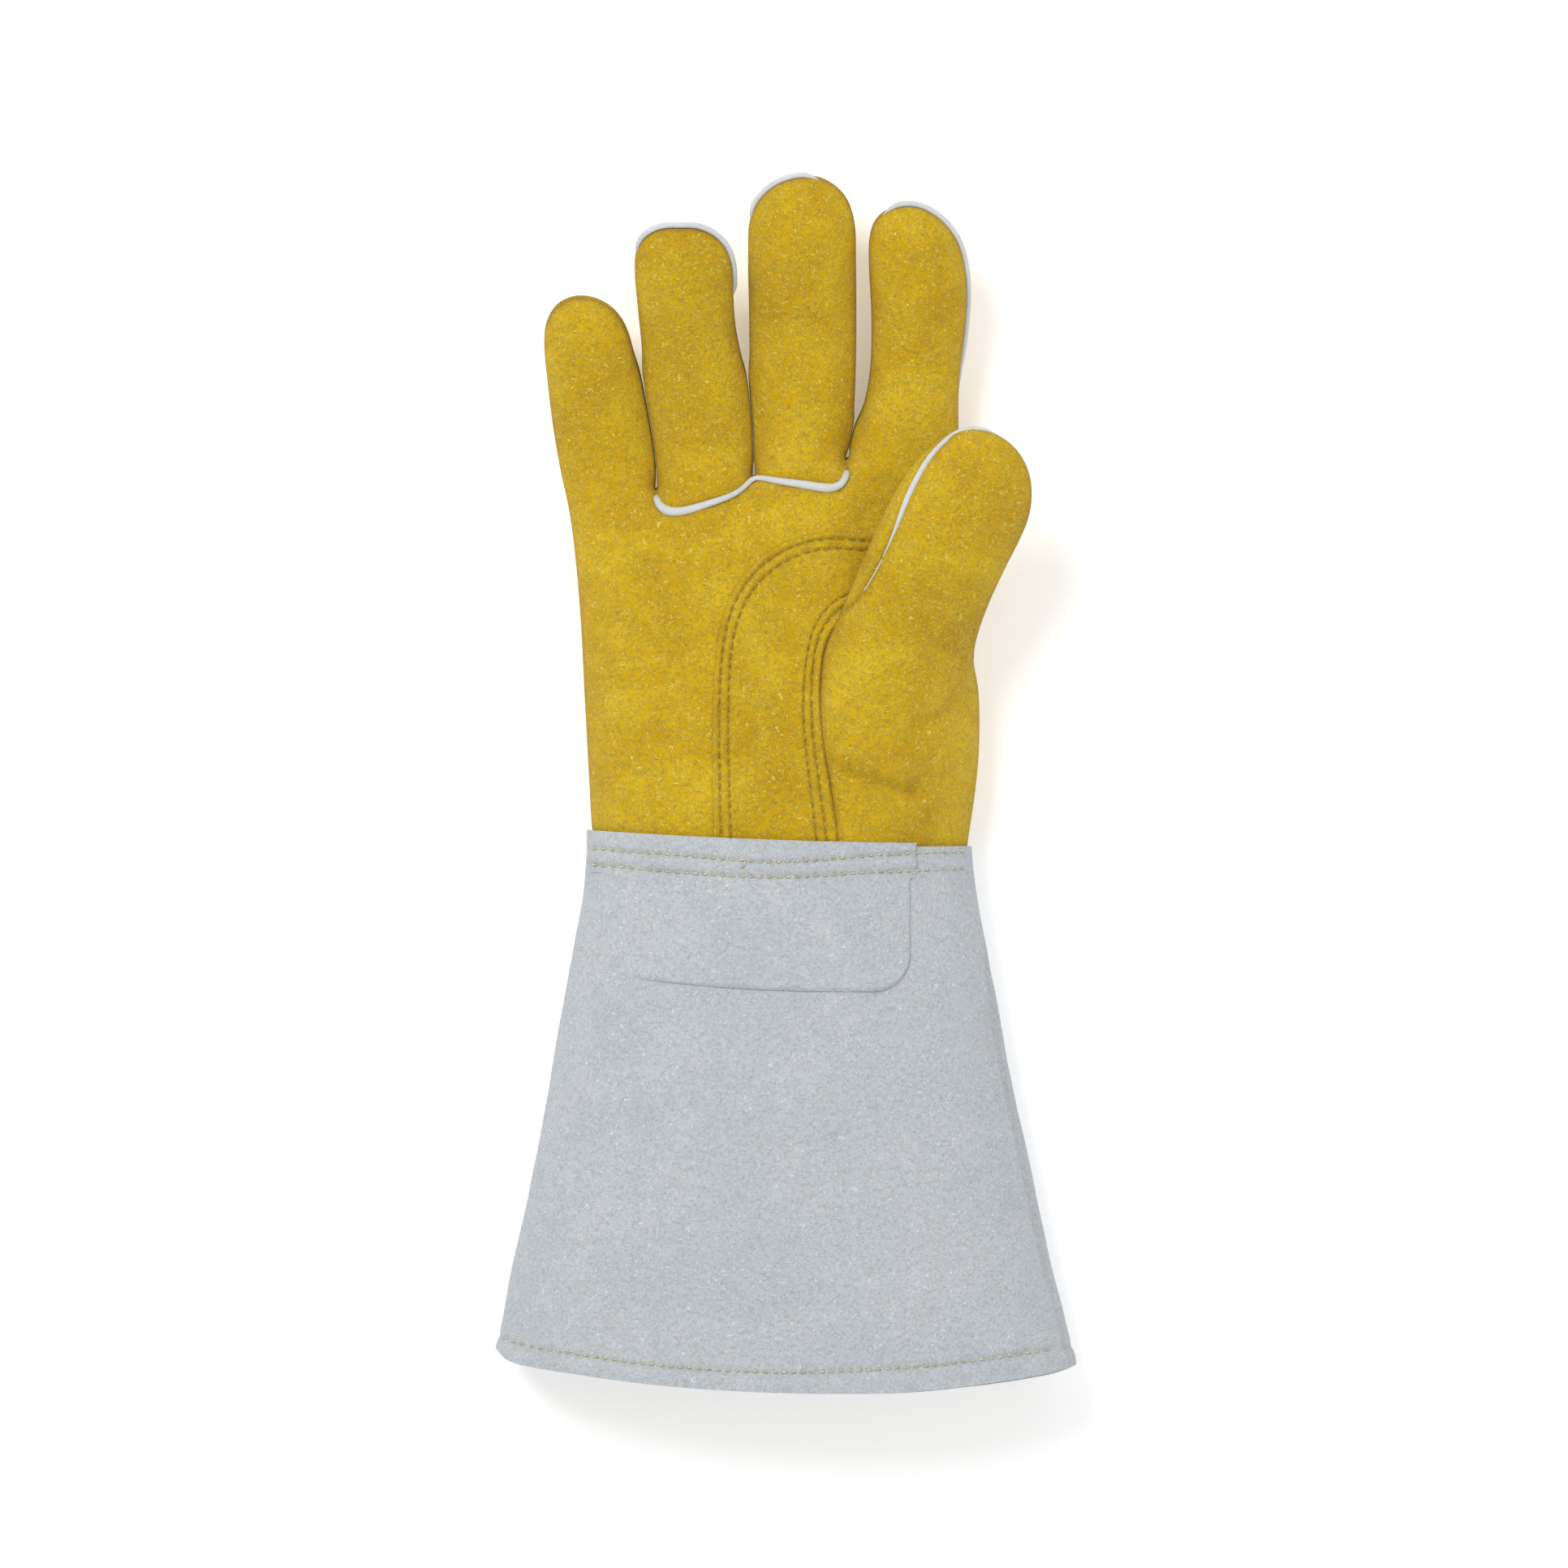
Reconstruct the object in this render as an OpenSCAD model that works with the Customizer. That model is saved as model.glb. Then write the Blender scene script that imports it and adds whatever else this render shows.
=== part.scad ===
// Welding glove for the right hand, lying on its back with the palm up.
// X runs toward the thumb side, Y toward the fingertips, Z up out of the palm.
// Millimetres. The origin is on the floor, midway across the wrist.

/* [Leather] */
// Thickness of the suede leather panels.
leather_t = 1.4; // [1:0.1:2]
// Thickness of the soft cotton lining.
lining_t = 2.2; // [1:0.1:3]
// Thickness of the welt strip held in each seam.
welt_t = 1.4; // [1:0.1:2]
// How far a welt stands out beyond the leather.
welt_proud = 1; // [0.5:0.1:1.6]
// Clear gap between neighbouring layers.
fit_gap = 0.15; // [0.1:0.05:0.3]

/* [Hand] */
// Width across the wrist.
wrist_w = 128; // [110:1:140]
// Width across the knuckles.
knuckle_w = 139; // [130:1:146]
// How far the knuckles sit off the wrist's middle, toward the little finger.
knuckle_shift = 8.5; // [4:0.5:11]
// Thickness of the hand at the wrist.
wrist_h = 46; // [40:1:52]
// Thickness of the hand at the knuckles.
knuckle_h = 31.5; // [30:0.5:36]

/* [Fingers] */
// Finger lengths past the base bend: little, ring, middle, index.
finger_len = [60, 90, 97, 83]; // [50:1:110]
// Finger widths at the middle bend, welts included.
finger_w = [31.4, 34, 36, 35]; // [28:0.2:37]
// Place of each base bend along Y.
finger_y = [106, 108, 110, 114]; // [100:0.5:120]
// Place of each base bend along X.
finger_x = [-62.5, -29.5, 6, 44]; // [-70:0.5:50]
// Sideways lean of each finger, toward the little finger side.
finger_lean = [4, 2, -0.5, 0]; // [-2:0.5:6]
// Rise of each finger's first length from the floor.
finger_lift = [10, 13, 8, 8]; // [4:1:16]
// Bend of each finger's end length at rest.
finger_curl = [15, 20, 12, 12]; // [5:1:25]
// Thickness of a finger.
finger_h = 26; // [24:0.5:28]

/* [Thumb] */
// Width of the thumb across its root.
thumb_w = 40; // [34:1:42]
// Length of the end of the thumb past its bend.
thumb_tip_len = 35; // [28:1:38]
// Turn of the thumb toward its own side of the hand.
thumb_lean = 21; // [15:1:26]

/* [Cuff] */
// Length of the cuff at its middle.
cuff_len = 189; // [120:1:190]
// Width of the cuff at its mouth.
mouth_w = 192; // [170:1:200]
// Thickness of the cuff at its mouth.
mouth_h = 62; // [50:1:70]
// Width of the wrist flap.
flap_w = 102; // [80:1:110]
// Free length of the wrist flap.
flap_len = 34; // [25:1:40]

/* [Hidden] */
$fn = 24;
names = ["little", "ring", "middle", "index"];
wrist_y = -15;
axis_z = 17;
patch_t = 1.4;
thread = 0.8;
base_travel = 50;
tip_travel = 60;
thumb_travel = 40;
hand_cut = 26;
wrist_cut = 8.5;
thumb_at = [39, 34, 44];
thumb_tilt = 12;
base_share = 0.43;
yellow = [0.86, 0.62, 0.20];
grey = [0.68, 0.71, 0.74];
white = [0.93, 0.93, 0.91];
cream = [0.93, 0.87, 0.55];
cotton = [0.90, 0.88, 0.82];

// ---- Helpers ----

function mix(a, b, s) = a + (b - a) * s;
function spow(v, e) = sign(v) * pow(abs(v), e);
function flat(rows) = [for (r = rows, p = r) p];

// How far a bend's cut lies back from the bend line at one point of a section.
// cut = [across weight, height weight, closing half angle, opening half angle, gap]
function cut_at(cut, x, z) =
  let (l = cut[0] * x + cut[1] * z)
  cut[4] + (l > 0 ? l * tan(cut[2]) : -l * tan(cut[3]));

// Closed slab between two grids of points that have the same rows and columns.
module slab(outer, inner, turn = false) {
  ni = len(outer);
  nj = len(outer[0]);
  m = ni * nj;
  pts = concat(flat(outer), flat(inner));
  grid = [for (i = [0:ni - 2], j = [0:nj - 2]) let (a = i * nj + j)
    each [[a, a + 1, a + nj], [a + 1, a + nj + 1, a + nj],
          [m + a, m + a + nj, m + a + 1], [m + a + 1, m + a + nj, m + a + nj + 1]]];
  sides = [for (i = [0:ni - 2]) let (a = i * nj, b = i * nj + nj - 1)
    each [[a, a + nj, m + a], [a + nj, m + a + nj, m + a],
          [b, m + b, b + nj], [b + nj, m + b, m + b + nj]]];
  ends = [for (j = [0:nj - 2]) let (a = j, b = (ni - 1) * nj + j)
    each [[a, m + a, a + 1], [a + 1, m + a, m + a + 1],
          [b, b + 1, m + b], [b + 1, m + b + 1, m + b]]];
  faces = concat(grid, sides, ends);
  polyhedron(pts, turn ? [for (f = faces) [f[2], f[1], f[0]]] : faces);
}

// Closed wall between two stacks of rings. A closed tip joins each stack to its apex.
module sleeve(outer, inner, tip = [], turn = false) {
  ni = len(outer);
  nj = len(outer[0]);
  m = ni * nj;
  closed = len(tip) == 2;
  pts = concat(flat(outer), flat(inner), tip);
  wall = [for (i = [0:ni - 2], j = [0:nj - 1]) let (a = i * nj + j, b = i * nj + (j + 1) % nj)
    each [[a, b, a + nj], [b, b + nj, a + nj],
          [m + a, m + a + nj, m + b], [m + b, m + a + nj, m + b + nj]]];
  first = [for (j = [0:nj - 1]) let (a = j, b = (j + 1) % nj)
    each [[a, m + a, b], [b, m + a, m + b]]];
  last = [for (j = [0:nj - 1]) let (a = (ni - 1) * nj + j, b = (ni - 1) * nj + (j + 1) % nj)
    each closed ? [[a, b, 2 * m], [m + b, m + a, 2 * m + 1]]
                : [[a, b, m + a], [b, m + b, m + a]]];
  faces = concat(wall, first, last);
  polyhedron(pts, turn ? [for (f = faces) [f[2], f[1], f[0]]] : faces);
}

// Solid cord through a row of rings.
module cord(rings, turn = false) {
  ni = len(rings);
  nj = len(rings[0]);
  wall = [for (i = [0:ni - 2], j = [0:nj - 1]) let (a = i * nj + j, b = i * nj + (j + 1) % nj)
    each [[a, b, a + nj], [b, b + nj, a + nj]]];
  caps = [for (j = [1:nj - 2]) let (z = (ni - 1) * nj) each [[0, j + 1, j], [z, z + j, z + j + 1]]];
  faces = concat(wall, caps);
  polyhedron(flat(rings), turn ? [for (f = faces) [f[2], f[1], f[0]]] : faces);
}

// ---- Finger and thumb lengths, in their own frame: y along, z to the palm side ----

// Stations [y, half width, half thickness] of a straight length.
function run(L, a, b, off) =
  [for (s = [0:0.25:1]) [s * L, mix(a[0], a[1], s) - off, mix(b[0], b[1], s) - off]];

// Stations of a length that ends in a rounded tip.
function tip_run(L, a, b, off) =
  let (r = b[1] * 1.15, k = r - off)
  concat(
    [for (t = [0, 0.33, 0.67, 1]) [t * (L - r), mix(a[0], a[1], t) - off, mix(b[0], b[1], t) - off]],
    [for (q = [28, 50, 68, 80])
      [L - r + k * sin(q), (a[1] - off) * pow(cos(q), 0.75), (b[1] - off) * pow(cos(q), 0.85)]]
  );

function shifted(y, L, c0, c1, x, z) = y + (1 - y / L) * cut_at(c0, x, z) - (y / L) * cut_at(c1, x, z);

// Half of a tube: side 1 is the palm side and side -1 the back.
function half_grid(prof, L, side, lift, c0, c1, n = 8) =
  [for (p = prof) [for (k = [0:n])
    let (t = 180 * k / n, x = p[1] * cos(t), z = side * (lift + p[2] * sin(t)))
    [x, shifted(p[0], L, c0, c1, x, z), z]]];

function ring_grid(prof, L, lift, c0, c1, n = 16) =
  [for (p = prof) [for (k = [0:n - 1])
    let (t = 360 * k / n, x = p[1] * cos(t), z = (p[2] + lift) * sin(t))
    [x, shifted(p[0], L, c0, c1, x, z), z]]];

// Flat welt strip that runs up one side, round the tip and down the other.
function welt_ring(prof_out, prof_in, i, side, L, c0, c1) =
  let (po = prof_out[i], pi = prof_in[i], h = welt_t / 2 - fit_gap / 2)
  [for (q = [[po, -h], [po, h], [pi, h], [pi, -h]])
    let (x = side * q[0][1]) [x, shifted(q[0][0], L, c0, c1, x, q[1]), q[1]]];

module length_part(kind, L, a, b, c0, c1, tip) {
  lift = welt_t / 2 + fit_gap / 2;
  skin = tip ? tip_run(L, a, b, 0) : run(L, a, b, 0);
  skin_in = tip ? tip_run(L, a, b, leather_t) : run(L, a, b, leather_t);
  deep = leather_t + fit_gap;
  pad = tip ? tip_run(L, a, b, deep) : run(L, a, b, deep);
  pad_in = tip ? tip_run(L, a, b, deep + lining_t) : run(L, a, b, deep + lining_t);
  proud = tip ? tip_run(L, a, b, -welt_proud) : run(L, a, b, -welt_proud);
  gap = [0, 0, 0, 0, 1];
  n = len(skin) - 1;
  if (kind == "front") color(yellow)
    slab(half_grid(skin, L, 1, lift, c0, c1), half_grid(skin_in, L, 1, lift, c0, c1));
  if (kind == "back") color(yellow)
    slab(half_grid(skin, L, -1, lift, c0, c1), half_grid(skin_in, L, -1, lift, c0, c1), true);
  if (kind == "lining") color(cotton)
    sleeve(ring_grid(pad, L, lift - fit_gap, c0 + gap, tip ? c1 : c1 + gap),
           ring_grid(pad_in, L, lift - fit_gap, c0 + gap, tip ? c1 : c1 + gap),
           tip ? [[0, pad[n][0], 0], [0, pad_in[n][0], 0]] : []);
  if (kind == "welt") color(white)
    if (tip)
      cord(concat([for (i = [0:n]) welt_ring(proud, skin_in, i, 1, L, c0, c1)],
                  [for (i = [n:-1:0]) welt_ring(proud, skin_in, i, -1, L, c0, c1)]));
    else {
      cord([for (i = [0:n]) welt_ring(proud, skin_in, i, 1, L, c0, c1)]);
      cord([for (i = [n:-1:0]) welt_ring(proud, skin_in, i, -1, L, c0, c1)]);
    }
}

// ---- Fingers ----

module at_finger(f) {
  translate([finger_x[f], finger_y[f], axis_z])
    rotate([0, 0, finger_lean[f]])
      rotate([finger_lift[f], 0, 0])
        children();
}

function finger_bend(f) = finger_len[f] * base_share;
function finger_half(f) = finger_w[f] / 2 - welt_proud;

module finger_part(f, part, kind) {
  L = finger_bend(f);
  b = finger_h / 2 - welt_t / 2;
  w = finger_half(f);
  root = [0, 1, base_travel + finger_lift[f] - hand_cut + 1, 1, 0.6];
  knee = [0, 1, (tip_travel + finger_curl[f]) / 2 + 1, 1, 0.6];
  if (part == "base")
    at_finger(f) length_part(kind, L, [w * 0.95, w], [b, b], root, knee, false);
  else
    at_finger(f) translate([0, L, 0]) rotate([finger_curl[f], 0, 0])
      length_part(kind, finger_len[f] - L, [w, w * 0.95], [b, b * 0.94], knee, [0, 0, 0, 0, 0], true);
}

// ---- Thumb: the first length turns up out of the palm, then leans over toward the fingers ----

module at_thumb() {
  translate(thumb_at) rotate([0, thumb_tilt, 0]) rotate([0, 0, -thumb_lean]) children();
}

// Sections of the first length: top point and under point as [along, up], then half width.
thumb_rows = [
  [[-24, 0.4], [24, 0.4], 20],
  [[-13, 9.5], [27, 0], 20.5],
  [[1, 18], [31.5, -1], 20.5],
  [[20, 24.5], [39, -2], 20],
  [[42, 27.5], [51, -2], 19]
];
knee_top = thumb_rows[4][0];
knee_low = thumb_rows[4][1];
thumb_knee = (knee_top + knee_low) / 2;
thumb_pitch = atan2(knee_low[0] - knee_top[0], knee_top[1] - knee_low[1]);
thumb_b = norm(knee_top - knee_low) / 2;
thumb_turn = 6;
thumb_cut = [-1, 0, (thumb_travel + thumb_turn) / 2 + 1, 1, 0.6];

function thumb_ring(row, off, angles, lift, side, s) =
  let (mid = (row[0] + row[1]) / 2, up = (row[0] - row[1]) / norm(row[0] - row[1]),
       b = norm(row[0] - row[1]) / 2 - off - lift, a = (row[2] * thumb_w / 40) - off, along = [up[1], -up[0]])
  [for (t = angles)
    let (x = a * cos(t), h = b * sin(t) + lift * side, back = s * cut_at(thumb_cut, x, 0),
         p = mid + up * h - along * back)
    [x, p[0], p[1]]];

module thumb_base(kind) {
  lift = welt_t / 2 + fit_gap / 2;
  deep = leather_t + 4 * fit_gap;
  half = kind == "back" ? [for (k = [0:8]) -180 * k / 8] : [for (k = [0:8]) 180 * k / 8];
  side = kind == "back" ? -1 : 1;
  all = [for (k = [0:15]) 360 * k / 16];
  n = len(thumb_rows) - 1;
  at_thumb() {
    if (kind == "front" || kind == "back") color(yellow)
      slab([for (i = [0:n]) thumb_ring(thumb_rows[i], 0, half, lift, side, i / n)],
           [for (i = [0:n]) thumb_ring(thumb_rows[i], leather_t, half, lift, side, i / n)], kind == "back");
    if (kind == "lining") color(cotton)
      sleeve([for (i = [0:n]) thumb_ring(thumb_rows[i], deep, all, 0, 0, i / n)],
             [for (i = [0:n]) thumb_ring(thumb_rows[i], deep + lining_t, all, 0, 0, i / n)]);
    if (kind == "welt") color(white)
      for (e = [0, 180])
        cord([for (i = e == 0 ? [0:n] : [n:-1:0])
          let (h = welt_t / 2 - fit_gap / 2)
          [for (c = [[-welt_proud, -1], [-welt_proud, 1], [leather_t, 1], [leather_t, -1]])
            thumb_ring(thumb_rows[i], c[0], [e], h, c[1], i / n)[0]]]);
  }
}

module thumb_tip(kind) {
  a = [0.475, 0.4375] * thumb_w;
  b = [thumb_b - welt_t / 2, thumb_b - 2];
  at_thumb()
    translate([0, thumb_knee[0], thumb_knee[1]])
      rotate([thumb_pitch, 0, 0])
        rotate([0, 0, thumb_turn])
          length_part(kind, thumb_tip_len, a, b, thumb_cut, [0, 0, 0, 0, 0], true);
}

// ---- Hand ----

function hand_u(y) = min(1, max(0, (y - wrist_y) / (finger_y[1] - wrist_y)));
function hand_half(y) = mix(wrist_w, knuckle_w, pow(hand_u(y), 1.6)) / 2;
function hand_mid(y) = -0.5 - knuckle_shift * pow(hand_u(y), 1.7);
function hand_top(y) = mix(wrist_h, knuckle_h, pow(hand_u(y), 1.15)) - axis_z;
e_top = 0.8;
e_low = 0.5;

// Palm surface height, and the section angle at a place across it.
function palm_z(x, y, off = 0) =
  let (u = min(0.999, abs((x - hand_mid(y)) / (hand_half(y) - off))))
  axis_z + (hand_top(y) - off) * pow(1 - pow(u, 2 / e_top), e_top / 2);
function angle_at(x, y) =
  let (u = max(-1, min(1, (x - hand_mid(y)) / hand_half(y)))) acos(spow(u, 1 / e_top));

function knuckle_y(x) = lookup(x, [
  for (f = [0:3]) each let (h = finger_half(f) + 0.6, k = tan(finger_lean[f]))
    [[finger_x[f] - h, finger_y[f] - h * k], [finger_x[f] + h, finger_y[f] + h * k]]
]);

function hand_y(s, x, z) =
  let (start = wrist_y + 0.6 + abs(z - axis_z - 6) * tan(wrist_cut),
       end = knuckle_y(x) - 0.6 - max(0, z - axis_z) * tan(hand_cut + 1))
  mix(start, end, s);

// A point of the hand's skin at section angle t, at share s of its length.
function hand_pt(s, t, off, lift) =
  let (yn = mix(wrist_y, finger_y[1], s), a = hand_half(yn) - off,
       x = hand_mid(yn) + a * spow(cos(t), t > 180 ? 0.8 : e_top),
       zt = axis_z + lift + (hand_top(yn) - lift - off) * spow(sin(t), e_top),
       zb = max(off, axis_z - lift - (axis_z + 0.7 - lift - off) * pow(abs(sin(t)), e_low)),
       z = sin(t) >= 0 ? zt : zb)
  [x, hand_y(s, x, z), z];

hand_rows = [for (y = [-15, -10, -9, 2, 13, 24, 35, 46, 54.5, 56, 68, 80, 92, 103, 110]) hand_u(y)];
mound_at = [39, 23];
mound_r = [23, 35];
mound_lap = 2;

// Reach of the thumb's opening to either side of the mound's middle, or 0 beyond its ends.
function mound_reach(y, ends) =
  let (v = (y - mound_at[1]) / mound_r[1])
  abs(v) > ends ? 0 : mound_r[0] * sqrt(1 - v * v) - mound_lap;
function row_y(s) = mix(wrist_y, finger_y[1], s);

// Section angles where the palm panel stops and where the back panel comes up to.
function palm_end(s) =
  let (r = mound_reach(row_y(s), 0.93)) r == 0 ? 0 : angle_at(mound_at[0] - r, row_y(s));
function back_end(s) =
  let (r = mound_reach(row_y(s), 0.85)) r == 0 ? 0 : angle_at(mound_at[0] + r, row_y(s));
function palm_angles(s, trim = 0) = [for (k = [0:14]) mix(palm_end(s) + trim, 180, k / 14)];
function back_angles(s, trim = 0) = [for (k = [0:16]) mix(180.01, 359.99 + back_end(s) - trim, k / 16)];

module hand_palm_panel() {
  lift = welt_t / 2 + fit_gap / 2;
  color(yellow)
    slab([for (s = hand_rows) [for (t = palm_angles(s)) hand_pt(s, t, 0, lift)]],
         [for (s = hand_rows) [for (t = palm_angles(s)) hand_pt(s, t, leather_t, lift)]]);
}

module hand_back_panel() {
  lift = welt_t / 2 + fit_gap / 2;
  color(yellow)
    slab([for (s = hand_rows) [for (t = back_angles(s)) hand_pt(s, t, 0, lift)]],
         [for (s = hand_rows) [for (t = back_angles(s)) hand_pt(s, t, leather_t, lift)]]);
}

module hand_lining() {
  deep = leather_t + 7 * fit_gap;
  function ring(s, off) =
    let (angles = concat(palm_angles(s, 3), back_angles(s, 3)))
    [for (t = angles) hand_pt(max(0.004, min(0.99, s)), t, off, 0)];
  color(cotton) slab([for (s = hand_rows) ring(s, deep)], [for (s = hand_rows) ring(s, deep + lining_t)]);
}

// Mound of leather between the palm and the thumb's root.
module thenar_panel() {
  n = 24;
  function low(off) = [for (k = [0:n - 1])
    let (t = -360 * k / n,
         x = mound_at[0] + (mound_r[0] - off) * cos(t),
         y = mound_at[1] + (mound_r[1] - off) * sin(t))
    [x, y, palm_z(x, y) + 0.8]];
  function high(off) = [for (k = [0:n - 1])
    let (t = -360 * k / n, x = (thumb_rows[0][2] - off) * cos(t), y = (24 - off) * sin(t),
         c = cos(-thumb_lean), s = sin(-thumb_lean), q = [x * c - y * s, x * s + y * c],
         w = [q[0] * cos(thumb_tilt), q[1], -q[0] * sin(thumb_tilt)])
    thumb_at + w - [0, 0, 0.4]];
  function stack(off) =
    let (a = low(off), b = high(off))
    [for (h = [0, 0.5, 1]) [for (k = [0:n - 1]) mix(a[k], b[k], h)]];
  color(yellow) sleeve(stack(0), stack(leather_t));
}

// ---- Palm patch and seams laid on the palm ----

patch_left = [[-13, -23.5], [27, -24], [49, -22], [60, -19], [70, -13.5], [80, -1.4], [84, 12]];
patch_right = [[-13, 17], [2, 14.5], [19, 13], [37, 13], [50, 19], [60, 26], [84, 33]];

patch_up = 0.6;

function on_palm(x, y, up) = [x, y, palm_z(x, y) + up];

module palm_patch() {
  rows = [for (s = [0:0.1:1]) mix(-10, 83.5, s)];
  function grid(up) = [for (y = rows)
    let (l = lookup(y, patch_left), r = min(lookup(y, patch_right), palm_limit(y)))
    [for (k = [0:6]) on_palm(mix(r, l, k / 6), y, up)]];
  color(yellow) slab(grid(patch_up + patch_t), grid(patch_up));
}

// The patch stays off the thenar mound.
function palm_limit(y) =
  let (v = (y - mound_at[1]) / mound_r[1])
  abs(v) >= 1 ? 60 : mound_at[0] - mound_r[0] * sqrt(1 - v * v) - 1;

// Raised row of thread that follows a line across the palm.
module seam_row(line, up, w = thread, h = 0.5) {
  cord([for (p = line) let (d = w / 2)
    [on_palm(p[0] - d, p[1], up), on_palm(p[0] - d, p[1], up + h),
     on_palm(p[0] + d, p[1], up + h), on_palm(p[0] + d, p[1], up)]], true);
}

module patch_outer_stitch() {
  color(cream) seam_row([for (y = [-8:8:80]) [lookup(y, patch_left) + 2.7, y]], patch_up + patch_t + 0.3);
}

module patch_inner_stitch() {
  color(cream) seam_row([for (y = [-8:8:72]) [lookup(y, patch_left) + 6, y]], patch_up + patch_t + 0.3);
}

module base_seam_welt() {
  line = [[-42, 91], [-36.5, 90], [-23, 92], [-16, 94], [-11, 97], [-1.4, 97], [17.6, 95], [20.3, 97]];
  color(white)
    cord([for (p = line)
      [for (q = [[-1.2, 0.4], [-1, 1.8], [1, 1.8], [1.2, 0.4]]) on_palm(p[0], p[1] + q[0], q[1])]]);
}

// Welts down both sides of the hand. The thumb side starts above the thumb's opening.
module hand_side_welt() {
  h = welt_t / 2 - fit_gap / 2;
  n = len(hand_rows) - 1;
  function ring(s, e) =
    let (o = hand_pt(s, e, -welt_proud, 0), q = hand_pt(s, e, leather_t, 0))
    [[o[0], o[1], axis_z - h], [o[0], o[1], axis_z + h], [q[0], q[1], axis_z + h], [q[0], q[1], axis_z - h]];
  color(white) {
    cord([for (i = [10:n]) ring(hand_rows[i], 0)]);
    cord([for (i = [n:-1:0]) ring(hand_rows[i], 180)]);
  }
}

// ---- Cuff ----

hem_rise = 12;
function cuff_mid(s) = -0.8 * s;
function cuff_half(s) = mix(wrist_w + 3, mouth_w, pow(s, 1.25)) / 2;
function cuff_top(s) = mix(wrist_h + 3, mouth_h, s) - axis_z - 6 * s;
function cuff_eq(s) = axis_z + 6 * s;

function cuff_s(x, y) =
  let (s = (wrist_y - y) / cuff_len, u = (x - cuff_mid(s)) / cuff_half(s))
  min(1, (wrist_y - 0.6 - y) / (cuff_len - hem_rise * u * u));

function cuff_z(x, y, off = 0) =
  let (s = cuff_s(x, y), u = min(0.999, abs((x - cuff_mid(s)) / (cuff_half(s) - off))))
  cuff_eq(s) + (cuff_top(s) - off) * pow(1 - pow(u, 2 / e_top), e_top / 2);

function cuff_pt(s, t, off) =
  let (a = cuff_half(s) - off, u = spow(cos(t), e_top), x = cuff_mid(s) + a * u, eq = cuff_eq(s),
       zt = eq + (cuff_top(s) - off) * spow(sin(t), e_top),
       zb = max(off, eq - (eq + 0.7 - off) * pow(abs(sin(t)), e_low)),
       z = sin(t) >= 0 ? zt : zb,
       start = wrist_y - 0.6 - abs(z - axis_z - 6) * tan(wrist_cut),
       end = wrist_y - cuff_len + hem_rise * u * u)
  [x, mix(start, end, s), z];

cuff_rows = [for (i = [0:10]) i / 10];
cuff_angles = [for (k = [0:32]) mix(1.5, 358.5, k / 32)];

module cuff_leather() {
  function ring(s, off) = [for (t = cuff_angles) cuff_pt(s, t, off)];
  color(grey) slab([for (s = cuff_rows) ring(s, 0)], [for (s = cuff_rows) ring(s, leather_t)], true);
}

module cuff_lining() {
  deep = leather_t + 3 * fit_gap;
  function ring(s, off) = [for (t = cuff_angles) cuff_pt(mix(0.01, 0.98, s), t, off)];
  color(cotton)
    sleeve([for (s = cuff_rows) ring(s, deep)], [for (s = cuff_rows) ring(s, deep + 1.4)], [], true);
}

module cuff_side_welt() {
  color(white)
    cord([for (s = [1:-0.1:0])
      let (p = cuff_pt(s, 0, 0))
      [p + [0.2, 0, -0.6], p + [1.6, 0, -0.6], p + [1.6, 0, 0.6], p + [0.2, 0, 0.6]]]);
}

// Row of thread across the top of the cuff, at one distance below the wrist.
module cuff_row(dist, up, reach, n) {
  cord([for (k = [0:n])
    let (x = mix(-reach, reach, k / n), y = wrist_y - dist + 3 * pow(x / reach, 2))
    [[x, y - 0.4, cuff_z(x, y) + up], [x, y - 0.4, cuff_z(x, y) + up + 0.5],
     [x, y + 0.4, cuff_z(x, y) + up + 0.5], [x, y + 0.4, cuff_z(x, y) + up]]]);
}

module cuff_band_stitch_upper() {
  color(cream) cuff_row(9.5, fit_gap, 56, 16);
}

module cuff_band_stitch_lower() {
  color(cream) cuff_row(15.5, fit_gap, 56, 16);
}

module cuff_hem_stitch() {
  function edge(x) = wrist_y - cuff_len + hem_rise * pow(x / cuff_half(1), 2) + 7;
  color(cream)
    cord([for (k = [0:20])
      let (x = mix(-86, 86, k / 20), y = edge(x))
      [[x, y - 0.4, cuff_z(x, y) + 0.5], [x, y - 0.4, cuff_z(x, y) + 1],
       [x, y + 0.4, cuff_z(x, y) + 1], [x, y + 0.4, cuff_z(x, y) + 0.5]]]);
}

// Loose flap over the pulse, hung from a line just below the cuff's stitched band.
module wrist_flap() {
  x0 = -60.5;
  n = 16;
  function len_at(x) =
    let (a = max(0, x0 + 14 - x), b = max(0, x - (x0 + flap_w) + 12))
    flap_len - (a > 0 ? 14 - sqrt(max(0, 196 - a * a)) : 0) - (b > 0 ? 12 - sqrt(max(0, 144 - b * b)) : 0);
  function grid(up) = [for (r = [0:0.25:1]) [for (k = [0:n])
    let (x = mix(x0, x0 + flap_w, k / n), y = wrist_y - 18.5 - r * len_at(x))
    [x, y, cuff_z(x, y) + up]]];
  color(grey) slab(grid(0.7 + leather_t), grid(0.7));
}

// ---- Assembly ----

for (f = [0:3], p = ["base", "tip"], k = ["front", "back", "lining", "welt"])
  finger_part(f, p, k);
for (k = ["front", "back", "lining", "welt"])
  thumb_base(k);
for (k = ["front", "back", "lining", "welt"])
  thumb_tip(k);
hand_palm_panel();
hand_back_panel();
hand_lining();
thenar_panel();
palm_patch();
patch_outer_stitch();
patch_inner_stitch();
base_seam_welt();
hand_side_welt();
cuff_leather();
cuff_lining();
cuff_side_welt();
cuff_band_stitch_upper();
cuff_band_stitch_lower();
cuff_hem_stitch();
wrist_flap();
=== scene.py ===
# Looks of the right-hand welding glove, palm up, built in millimetres and stored in metres.
import math

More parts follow.
